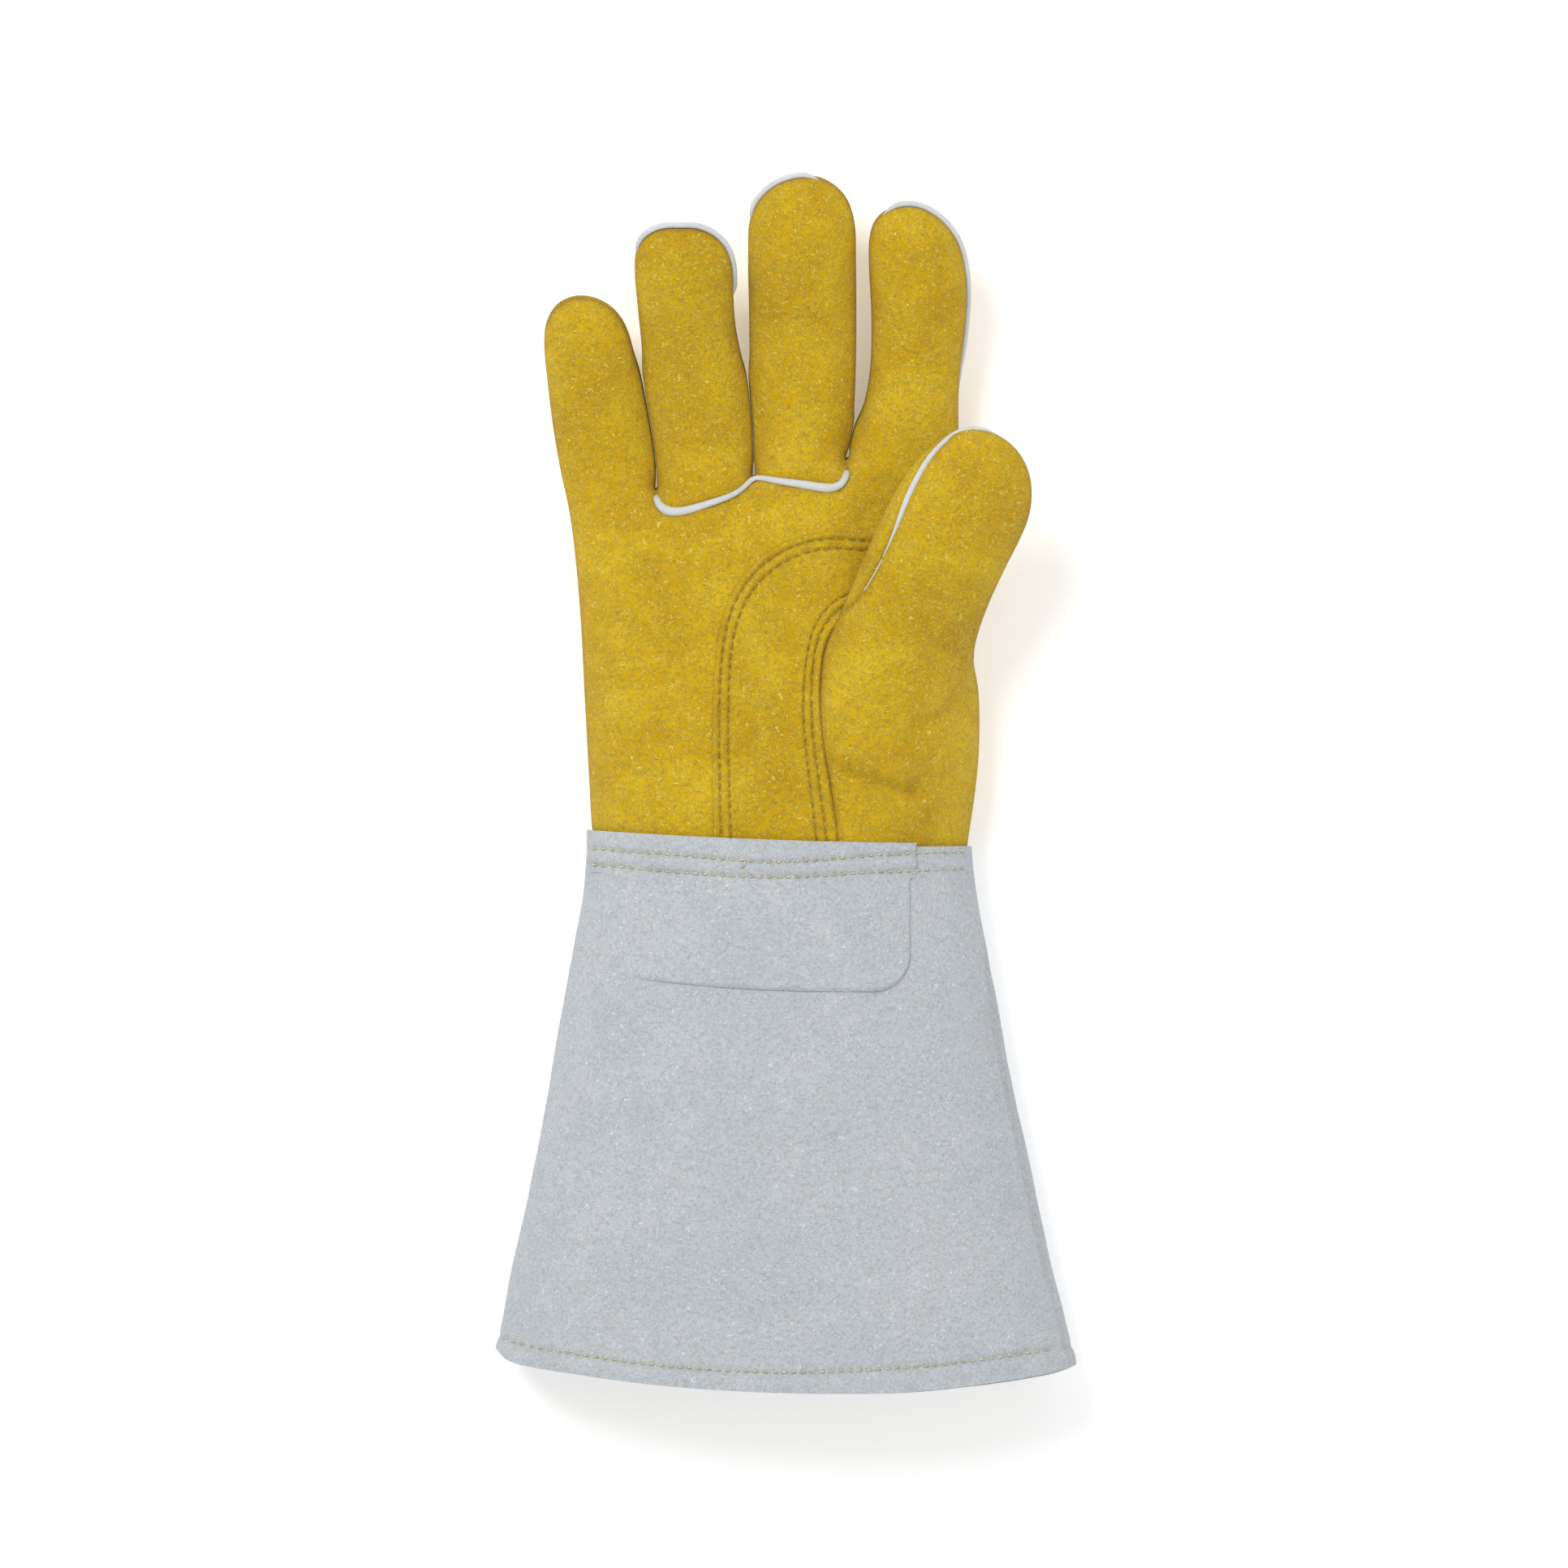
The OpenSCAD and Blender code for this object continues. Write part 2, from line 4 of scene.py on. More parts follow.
import bpy
import numpy as np
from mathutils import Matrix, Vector, noise
from mathutils.bvhtree import BVHTree
from mathutils.geometry import delaunay_2d_cdt


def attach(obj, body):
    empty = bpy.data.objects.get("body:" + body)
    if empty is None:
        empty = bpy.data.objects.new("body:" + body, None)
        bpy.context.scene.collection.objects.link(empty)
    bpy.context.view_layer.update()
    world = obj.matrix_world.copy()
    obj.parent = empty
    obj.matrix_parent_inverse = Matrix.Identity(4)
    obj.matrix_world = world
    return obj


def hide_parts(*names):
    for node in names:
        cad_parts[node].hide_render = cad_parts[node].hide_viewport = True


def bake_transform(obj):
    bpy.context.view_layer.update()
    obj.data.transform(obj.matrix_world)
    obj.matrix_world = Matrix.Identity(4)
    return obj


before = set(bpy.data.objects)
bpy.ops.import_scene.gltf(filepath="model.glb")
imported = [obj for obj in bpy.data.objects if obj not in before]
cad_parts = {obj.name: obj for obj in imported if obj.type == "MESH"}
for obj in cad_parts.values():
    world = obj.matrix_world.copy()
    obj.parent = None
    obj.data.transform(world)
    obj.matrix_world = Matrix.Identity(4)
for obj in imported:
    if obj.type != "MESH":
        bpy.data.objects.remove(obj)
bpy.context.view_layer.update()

MM = 0.001
EYE = 2500.0          # height of the camera above the floor, mm
FLAT = 25.0           # height at which the outline numbers were scaled, mm
AXIS_Z = 17.0         # height of the seam plane between palm and back, mm
LEN = 22.6            # how fast the stuffing height levels off away from a seam, mm
LEATHER = 1.3
FULL = [0.06, 0.25, 0.6, 1.15, 2.0, 3.2, 4.8]   # depths of the edge rows, mm


# ---------- plane curves ----------
def smooth(t):
    t = np.clip(t, 0, 1)
    return t * t * (3 - 2 * t)


def arc(points):
    """How far along a run of points each of them lies."""
    return np.concatenate([[0], np.cumsum(np.linalg.norm(np.diff(points, axis=0), axis=1))])


def unit(v, least=1e-9):
    return v / np.maximum(np.linalg.norm(v, axis=-1), least)[..., None]


def area_sign(outline):
    """1 for an outline that runs anticlockwise, -1 for one that runs clockwise."""
    n = np.roll(outline, -1, axis=0)
    return 1 if np.sum(outline[:, 0] * n[:, 1] - n[:, 0] * outline[:, 1]) > 0 else -1


def spline(points, step):
    """An even run of points on a smooth curve through the given points, of any dimension."""
    p = np.array(points, float)
    rows = []
    for i in range(len(p) - 1):
        p1, p2 = p[i], p[i + 1]
        p0 = p[i - 1] if i > 0 else 2 * p1 - p2
        p3 = p[i + 2] if i < len(p) - 2 else 2 * p2 - p1
        t01, t12, t23 = (max(np.linalg.norm((v - u)[:2]), 1e-6) ** 0.5 for u, v in ((p0, p1), (p1, p2), (p2, p3)))
        m1 = (p2 - p1) + t12 * ((p1 - p0) / t01 - (p2 - p0) / (t01 + t12))
        m2 = (p2 - p1) + t12 * ((p3 - p2) / t23 - (p3 - p1) / (t12 + t23))
        for t in np.linspace(0, 1, 24, endpoint=False):
            rows.append((2 * t**3 - 3 * t**2 + 1) * p1 + (t**3 - 2 * t**2 + t) * m1
                        + (-2 * t**3 + 3 * t**2) * p2 + (t**3 - t**2) * m2)
    rows = np.array(rows + [p[-1]])
    run = arc(rows[:, :2])
    at = np.linspace(0, run[-1], max(2, int(round(run[-1] / step)) + 1))
    return np.stack([np.interp(at, run, rows[:, k]) for k in range(rows.shape[1])], axis=1)


def inside(points, polygon):
    """Which points lie inside a polygon, by the crossing rule."""
    x, y = points[:, 0], points[:, 1]
    hit = np.zeros(len(points), bool)
    q = np.roll(polygon, -1, axis=0)
    for (x1, y1), (x2, y2) in zip(polygon, q):
        if y1 == y2:
            continue
        cross = (y1 > y) != (y2 > y)
        hit ^= cross & (x < (x2 - x1) * (y - y1) / (y2 - y1) + x1)
    return hit


def gap_to(points, line):
    """Distance from each point to a polyline, and the nearest segment's number."""
    a, d = line[:-1], line[1:] - line[:-1]
    best = np.full(len(points), 1e9)
    which = np.zeros(len(points), int)
    for i in range(0, len(points), 2000):
        p = points[i:i + 2000, None, :]
        t = np.clip(((p - a) * d).sum(-1) / np.maximum((d * d).sum(-1), 1e-12), 0, 1)
        g = np.linalg.norm(p - (a + d * t[..., None]), axis=-1)
        which[i:i + 2000] = g.argmin(1)
        best[i:i + 2000] = g.min(1)
    return best, which


def spread(points, room):
    """The points that keep their distance from each other."""
    cells, keep = {}, []
    for p in points:
        k = (int(math.floor(p[0] / room)), int(math.floor(p[1] / room)))
        near = (q for i in (-1, 0, 1) for j in (-1, 0, 1) for q in cells.get((k[0] + i, k[1] + j), ()))
        if all((p[0] - q[0]) ** 2 + (p[1] - q[1]) ** 2 >= room * room for q in near):
            cells.setdefault(k, []).append(p)
            keep.append(p)
    return np.array(keep).reshape(-1, 2)


def cut_line(a, b, step=2.0, middle=()):
    """A sewn line from edge point a to edge point b with the same depth steps as the edge rows at both ends."""
    pts = spline([a, *middle, b], 0.05) if len(middle) else np.array([a, b], float)
    run = arc(pts)
    total = run[-1]
    steps = [d for d in FULL if d < total / 2]
    at = sorted(set([0.0, total] + steps + [total - d for d in steps] + list(np.arange(6.3, total - 6.3, step))))
    return np.stack([np.interp(at, run, pts[:, 0]), np.interp(at, run, pts[:, 1])], axis=1)


def plan_mesh(edge, lines, open_row, pitch=2.1):
    """Triangles over the inside of a closed outline, finer towards its edge, with the given lines kept as edges.
    open_row is the height of the outline's straight lower side, which gets no fine rows."""
    n, way = len(edge), area_sign(edge)
    nxt, prv = np.roll(edge, -1, axis=0), np.roll(edge, 1, axis=0)
    tangent = nxt - prv
    tangent /= np.linalg.norm(tangent, axis=1)[:, None]
    normal = np.stack([-tangent[:, 1], tangent[:, 0]], axis=1) * way
    sewn = edge[:, 1] > open_row + 0.01
    first = int(np.argmax(sewn & ~np.roll(sewn, 1)))
    wall = np.roll(edge, -first, axis=0)[: int(sewn.sum())]
    a1 = np.arctan2(*(edge - prv)[:, ::-1].T)
    a2 = np.arctan2(*(nxt - edge)[:, ::-1].T)
    turn = (a2 - a1 + math.pi) % (2 * math.pi) - math.pi
    sharp = np.where((turn * way < -0.9) & sewn)[0]
    line_points = np.concatenate(lines)
    rows = []
    for depth in FULL:
        p = edge[sewn] + normal[sewn] * depth
        for i in sharp:
            base = math.atan2(normal[i, 1], normal[i, 0])
            p = np.concatenate([p, [edge[i] + depth * np.array([math.cos(base + a), math.sin(base + a)])
                                    for a in np.linspace(-1.4, 1.4, 3 + int(depth * 1.8))]])
        ok = inside(p, edge) & (gap_to(p, wall)[0] > 0.82 * depth) & (p[:, 1] > open_row + 0.5)
        ok &= np.min(np.linalg.norm(p[:, None] - line_points[None], axis=2), axis=1) > max(0.45, 0.3 * depth)
        rows.append(spread(p[ok], 0.75 if depth < 2.5 else 1.1))
    x0, y0 = edge.min(0)
    x1, y1 = edge.max(0)
    net = []
    for j, y in enumerate(np.arange(y0 + pitch * 0.5, y1, pitch * 0.866)):
        for x in np.arange(x0 + (j % 2) * pitch / 2, x1, pitch):
            net.append((x, y))
    net = np.array(net)
    net = net[inside(net, edge)]
    ok = (gap_to(net, wall)[0] > FULL[-1] + 0.62 * pitch) & (net[:, 1] > open_row + 0.6)
    ok &= np.min(np.stack([gap_to(net, line)[0] for line in lines]), axis=0) > 0.55 * pitch
    rows.append(net[ok])
    points = [edge]
    edges = [(i, (i + 1) % n) for i in range(n)]
    count = n
    for line in lines:
        ends = [int(np.argmin(np.linalg.norm(edge - line[k], axis=1))) for k in (0, -1)]
        ids = [ends[0]] + list(range(count, count + len(line) - 2)) + [ends[1]]
        points.append(line[1:-1])
        count += len(line) - 2
        edges += list(zip(ids[:-1], ids[1:]))
    points += rows
    allp = np.concatenate(points)
    out = delaunay_2d_cdt([Vector(p) for p in allp], edges, [], 0, 1e-5)
    verts = np.array([tuple(v) for v in out[0]])
    tris = np.array([f for f in out[2] if len(f) == 3])
    mid = verts[tris].mean(1)
    tris = tris[inside(mid, edge)]
    d1, d2 = verts[tris[:, 1]] - verts[tris[:, 0]], verts[tris[:, 2]] - verts[tris[:, 0]]
    sign = d1[:, 0] * d2[:, 1] - d1[:, 1] * d2[:, 0]
    tris = tris[np.abs(sign) > 1e-7]
    sign = sign[np.abs(sign) > 1e-7]
    tris[sign < 0] = tris[sign < 0][:, ::-1]
    used = np.unique(tris)
    remap = np.full(len(verts), -1)
    remap[used] = np.arange(len(used))
    verts, tris = verts[used], remap[tris]
    return verts, tris, gap_to(verts, wall)[0] < 2e-3


def stiffness(v, t):
    """Edge weights of the flat sheet's Laplacian, and each corner's share of area."""
    rows, cols, vals = [], [], []
    mass = np.zeros(len(v))
    p = v[t]
    area = 0.5 * np.abs((p[:, 1, 0] - p[:, 0, 0]) * (p[:, 2, 1] - p[:, 0, 1]) - (p[:, 2, 0] - p[:, 0, 0]) * (p[:, 1, 1] - p[:, 0, 1]))
    for k in range(3):
        i, j, o = t[:, k], t[:, (k + 1) % 3], t[:, (k + 2) % 3]
        a, b = v[i] - v[o], v[j] - v[o]
        cot = (a * b).sum(1) / np.maximum(np.abs(a[:, 0] * b[:, 1] - a[:, 1] * b[:, 0]), 1e-9)
        w = 0.5 * np.clip(cot, -50, 50)
        rows += [i, j]
        cols += [j, i]
        vals += [w, w]
        np.add.at(mass, t[:, k], area / 3)
    return np.concatenate(rows), np.concatenate(cols), np.concatenate(vals), mass


def settle(v, t, fixed, value, load, pull):
    """Solves the sheet's height: held at the fixed points, pushed by load, pulled back by pull times its own height."""
    i, j, w, mass = stiffness(v, t)
    n = len(v)
    diag = np.bincount(i, w, n) + pull * mass
    free = ~fixed
    def times(x):
        return diag * x - np.bincount(i, w * x[j], n)
    x = np.where(fixed, value, 0.0)
    b = load * mass
    r = np.where(free, b - times(x), 0.0)
    inv = np.where(free, 1 / np.maximum(np.abs(diag), 1e-9), 0)
    z = inv * r
    p = z.copy()
    rz = r @ z
    start = max(rz, 1e-30)
    for _ in range(1500):
        ap = np.where(free, times(p), 0.0)
        alpha = rz / (p @ ap)
        x = x + alpha * p
        r = r - alpha * ap
        z = inv * r
        new = r @ z
        if new < 1e-13 * start:
            break
        p = z + (new / rz) * p
        rz = new
    return x


def bulge(v, t, fixed):
    u = settle(v, t, fixed, np.zeros(len(v)), 2.0, 1 / LEN**2)
    return np.sqrt(np.maximum(u, 0))


# ---------- the hand's outline, seen from above ----------
def lens(points, z):
    """Outline numbers scaled at one height, moved to where they lie at height z."""
    z = np.asarray(z, float)
    return np.asarray(points, float) * ((EYE - z) / (EYE - FLAT))[..., None]


NAMES = ["little", "ring", "middle", "index"]
ROOT = np.array([(-62.5, 106), (-29.5, 108), (6, 110), (44, 114)], float)
LEAN = np.radians([4, 2, -0.5, 0])
LIFT = np.radians([10, 13, 8, 8])
CURL = np.radians([15, 20, 12, 12])
KNEE = [25.8, 38.7, 41.7, 35.7]
SPLIT = [12.4, 19, 20, 18]
S = np.arange(-60, 130, 0.5)
ALONG = np.stack([-np.sin(LEAN), np.cos(LEAN)], axis=1)
ACROSS = np.stack([np.cos(LEAN), np.sin(LEAN)], axis=1)
ANGLE, REACH, RISE = [], [], []
for f in range(4):
    a = LIFT[f] * smooth((S + 8) / 18) + CURL[f] * smooth((S - KNEE[f] + 13) / 26)
    reach = np.concatenate([[0], np.cumsum(np.cos((a[1:] + a[:-1]) / 2) * 0.5)])
    ANGLE.append(a)
    REACH.append(reach - np.interp(0, S, reach))
    RISE.append(np.concatenate([[0], np.cumsum(np.sin((a[1:] + a[:-1]) / 2) * 0.5)]))


def lift_of(f, points):
    p = (points - ROOT[f]) @ ALONG[f]
    return AXIS_Z + np.interp(p, REACH[f], RISE[f])


def finger_lens(f, points):
    points = np.array(points, float)
    z = lift_of(f, points)
    z = lift_of(f, lens(points, z))
    return lens(points, z)


CROTCH = lens([(-42.6, 97.8), (-10.2, 102), (20.6, 108)], 17.0)
LITTLE = finger_lens(0, [(-71.6, 90), (-74.6, 104), (-77.3, 120), (-79.2, 136), (-80.2, 147), (-79.4, 153.5), (-76.2, 159), (-71.3, 161.8),
                         (-65.6, 162.2), (-59.3, 160), (-54.6, 156), (-51.6, 150.5), (-49.1, 141), (-46.6, 130), (-44.45, 118), (-43.0, 108)])
RING = finger_lens(1, [(-42.6, 108), (-43.95, 118), (-45.5, 127), (-46.9, 137), (-47.9, 148.6), (-49.3, 162), (-50.1, 172), (-49.2, 178.8),
                       (-46, 183.2), (-41, 185.6), (-34.8, 186), (-28.3, 185.6), (-23, 183.2), (-19, 179), (-17, 173), (-16.6, 164),
                       (-15.8, 151.9), (-13.9, 142), (-12.2, 132.4), (-11.05, 121.6), (-10.45, 111)])
MIDDLE = finger_lens(2, [(-10.0, 111), (-10.6, 121.6), (-11.4, 132.4), (-11.8, 145), (-12, 160), (-12.3, 175), (-11.8, 187), (-8.8, 194.5), (-3, 199.8),
                         (4.5, 202.4), (11, 202.1), (17, 199.3), (21.6, 194), (23.9, 186), (24.3, 173), (24.4, 157), (24.3, 143), (23.8, 128), (22.8, 118.5), (21.6, 112.8)])
INDEX = finger_lens(3, [(22.0, 113), (23.3, 118.2), (25.0, 122.5), (27.1, 130), (28.5, 140), (28.7, 156), (27.9, 172), (28, 181), (29.6, 187), (33.8, 191),
                        (40.5, 193), (47, 191.8), (53.2, 187.6), (58, 181), (60.4, 172.4), (61.1, 162.7), (60.2, 150), (58.8, 137.8), (58.3, 124),
                        (58.6, 112)])
LEFT = lens([(-62.0, -34.5), (-62.5, -24), (-64.0, -15), (-64.9, 0), (-66.4, 27), (-67.8, 54), (-69.3, 72)], 17.0)
RIGHT = lens([(59.4, 100), (60, 87), (61, 60), (62, 43), (63.6, 27), (64, 10), (62.4, -6), (60.4, -20), (59.4, -34.5)], 17.0)
LOW = LEFT[0, 1]
RIGHT[-1, 1] = LOW
parts = [spline(np.vstack(p), 1.45) for p in ((LEFT, LITTLE, CROTCH[:1]), (CROTCH[:1], RING, CROTCH[1:2]),
                                              (CROTCH[1:2], MIDDLE, CROTCH[2:]), (CROTCH[2:], INDEX, RIGHT))]
base_row = np.stack([np.linspace(RIGHT[-1, 0], LEFT[0, 0], 60), np.full(60, LOW)], axis=1)
WALL = np.vstack([p[:-1] for p in parts])
EDGE = np.vstack([WALL, base_row[:-1]])


def nearest_edge(points, lo, hi):
    """The edge point nearest to each of the given points within outline part lo..hi."""
    run = EDGE[lo:hi]
    return run[np.argmin(np.linalg.norm(run - points, axis=1))]


starts = np.cumsum([0] + [len(p) - 1 for p in parts])


def across_edges(f, s):
    """The two outline points of finger f at distance s along it."""
    lo, hi = starts[f], starts[f + 1]
    run = EDGE[lo:hi + 1]
    p = (run - ROOT[f]) @ ALONG[f]
    x = (run - ROOT[f]) @ ACROSS[f]
    goal = np.interp(s, S, REACH[f])
    found = []
    for side in (x < 0, x >= 0):
        k = np.where(side & (np.abs(x) < 24))[0]
        found.append(run[k[np.argmin(np.abs(p[k] - goal))]])
    return found


SEAM_RING = [(-42.4, 93.8), (-40.6, 91.3), (-36.5, 90.2), (-30, 91.6), (-23, 93.9), (-16.5, 96.3), (-12.5, 99.4)]
SEAM_MIDDLE = [(-6, 101.6), (-1.4, 100.7), (8, 99.3), (15.5, 98.2), (19.3, 99.2), (20.9, 102.5)]
seam_ring = cut_line(CROTCH[0], CROTCH[1], 1.6, lens(SEAM_RING, 30.0))
seam_middle = cut_line(CROTCH[1], CROTCH[2], 1.6, lens(SEAM_MIDDLE, 30.0))
root_left = nearest_edge(np.array([-72.6, 97.0]), starts[0], starts[1])
root_right = nearest_edge(np.array([58.7, 106.0]), starts[3], starts[4])
root_lines = [cut_line(root_left, CROTCH[0]), cut_line(CROTCH[0], CROTCH[1], 2.0, [(CROTCH[0] + CROTCH[1]) / 2 + (0, 0.8)]),
              cut_line(CROTCH[1], CROTCH[2], 2.0, [(CROTCH[1] + CROTCH[2]) / 2 + (0, 0.8)]), cut_line(CROTCH[2], root_right)]
split_lines = [cut_line(*across_edges(f, SPLIT[f])) for f in range(4)]
wall_lines = root_lines + [seam_ring, seam_middle] + split_lines
V, T, on_edge = plan_mesh(EDGE, wall_lines, open_row=LOW)
mid = V[T].mean(1)


def index_of(p):
    return int(np.argmin(np.linalg.norm(EDGE - p, axis=1)))


def region(line):
    """The part of the plan beyond a sewn line that runs across a finger."""
    return np.vstack([EDGE[index_of(line[0]):index_of(line[-1]) + 1], line[::-1][1:-1]])


front_root = [root_lines[0], seam_ring, seam_middle, root_lines[3]]
front_of = np.full(len(T), -1)
back_of = np.full(len(T), -1)
tip_of = np.full(len(T), -1)
for f in range(4):
    front_of[inside(mid, region(front_root[f]))] = f
    back_of[inside(mid, region(root_lines[f]))] = f
    tip_of[inside(mid, region(split_lines[f]))] = f

# each plan point belongs to the finger that it stands on, or to the nearest one
owner = np.full(len(V), -1)
for f in range(4):
    hit = np.unique(T[(back_of == f) | (tip_of == f)])
    owner[hit] = f
loose = owner < 0
owner[loose] = np.abs(V[loose, None, 0] - ROOT[None, :, 0]).argmin(1)


def wave(p, size, seed):
    return np.array([noise.noise(Vector((x / size, y / size, seed))) for x, y in p])


def crease(p, line, width, depth):
    g, _ = gap_to(p, spline(line, 1.0))
    return -depth * np.exp(-((g / width) ** 2))


H = bulge(V, T, on_edge)
y = V[:, 1]
gain = np.interp(y, [-40, -15, 20, 60, 92, 108, 125, 210], [0.95, 0.94, 0.88, 0.78, 0.70, 0.74, 0.80, 0.82])
edge_gap, edge_seg = gap_to(V, WALL)
soft = smooth(edge_gap / 9)
front_h = H * gain
front_h = front_h + soft * (0.55 * wave(V, 26, 3.1) + 0.28 * wave(V, 10, 8.4))
front_h += soft * (crease(V, [(-47, 66), (-38, 60), (-26, 53)], 4.5, 1.3)
                   - 0.7 * crease(V, [(-52, 60), (-42, 53), (-30, 46)], 5.5, 1.5)
                   + crease(V, [(-50, 50), (-38, 42), (-28, 32)], 5, 1.2)
                   + crease(V, [(-20, 92), (-12, 84), (-2, 80)], 5, 0.7))
back_h = H * np.interp(y, [-40, 92, 125], [0.95, 0.85, 0.85])
flat_back = 16.4 - 2.4 * smooth((-4 - y) / 11)
back_h = back_h / (1 + (back_h / flat_back) ** 6) ** (1 / 6)
back_h += soft * smooth((y - 100) / 20) * 0.5 * wave(V, 14, 12.0)
seam_gap = np.minimum(gap_to(V, seam_ring)[0], gap_to(V, seam_middle)[0])
front_h = (front_h - 2.1 * np.exp(-((seam_gap / 1.5) ** 2)) * smooth(edge_gap / 2)
           + 0.5 * np.exp(-(((seam_gap - 4.5) / 2.5) ** 2)) * soft)


def groove(points, heights, gap, seg, lane, depth=1.0):
    """Draws the seam line in a little, so that the leather swells on each side of it."""
    q = lane[(seg + 1) % len(lane)] - lane[seg]
    nrm = unit(np.stack([-q[:, 1], q[:, 0]], axis=1))
    inward = nrm * area_sign(lane)
    return points + inward * (depth * np.exp(-((np.abs(heights) / 1.4) ** 2)) * (gap < 3))[:, None]


def bend(plan, rel, who):
    """Plan points and signed heights, carried up along each finger's own bend."""
    out = np.column_stack([plan, AXIS_Z + rel])
    for f in range(4):
        m = who == f
        p = (plan[m] - ROOT[f]) @ ALONG[f]
        s = np.interp(p, REACH[f], S)
        a = np.interp(s, S, ANGLE[f])
        out[m, :2] = plan[m] - ALONG[f] * (np.sin(a) * rel[m])[:, None]
        out[m, 2] = AXIS_Z + np.interp(s, S, RISE[f]) + np.cos(a) * rel[m]
    return out


lane_of = np.concatenate([np.full(len(p) - 1, k) for k, p in enumerate(parts)])


def press(points, heights):
    """Swells the sides of neighbouring fingers until they touch, low down where they stand close together."""
    out = points.copy()
    for k in range(4):
        mine = (edge_gap < 4) & (lane_of[np.minimum(edge_seg, len(lane_of) - 1)] == k)
        for other in (k - 1, k + 1):
            if not 0 <= other < 4:
                continue
            line = parts[other]
            g, seg = gap_to(points[mine], line)
            q = line[np.minimum(seg + 1, len(line) - 1)] - line[seg]
            to = unit(line[seg] + q * 0.5 - points[mine])
            away = smooth(np.min(np.linalg.norm(points[mine][:, None] - CROTCH[None], axis=2), axis=1) / 5)
            much = 0.62 * smooth((2.9 - g) / 1.4) * np.exp(-(((np.abs(heights[mine]) - 2.6) / 2.2) ** 2)) * away
            out[mine] += to * much[:, None]
    return out


FRONT = bend(press(groove(V, front_h, edge_gap, edge_seg, WALL), front_h), front_h, owner)
BACK = bend(press(groove(V, back_h, edge_gap, edge_seg, WALL), back_h), -back_h, owner)


def normals(p, t):
    n = np.zeros_like(p)
    c = np.cross(p[t[:, 1]] - p[t[:, 0]], p[t[:, 2]] - p[t[:, 0]])
    for k in range(3):
        np.add.at(n, t[:, k], c)
    return unit(n, 1e-12)


def halves(faces):
    """The two triangles of every four-sided face."""
    return np.vstack([faces[:, [0, 1, 2]], faces[:, [0, 2, 3]]])


def tree_of(p, faces):
    return BVHTree.FromPolygons([tuple(v) for v in p], [tuple(map(int, f)) for f in faces])


FRONT_N = normals(FRONT, T)
BACK_N = normals(BACK, T[:, ::-1])


# ---------- materials ----------
def node(tree, kind, **values):
    n = tree.nodes.new(kind)
    for k, v in values.items():
        setattr(n, k, v)
    return n


def ramp(tree, source, stops):
    r = node(tree, "ShaderNodeValToRGB")
    e = r.color_ramp.elements
    while len(e) < len(stops):
        e.new(0.5)
    for k, (at, c) in enumerate(stops):
        e[k].position = at
        e[k].color = (*c, 1)
    tree.links.new(source, r.inputs[0])
    return r.outputs[0]


def lin(c):
    return tuple((v / 255 / 12.92) if v / 255 <= 0.04045 else ((v / 255 + 0.055) / 1.055) ** 2.4 for v in c)


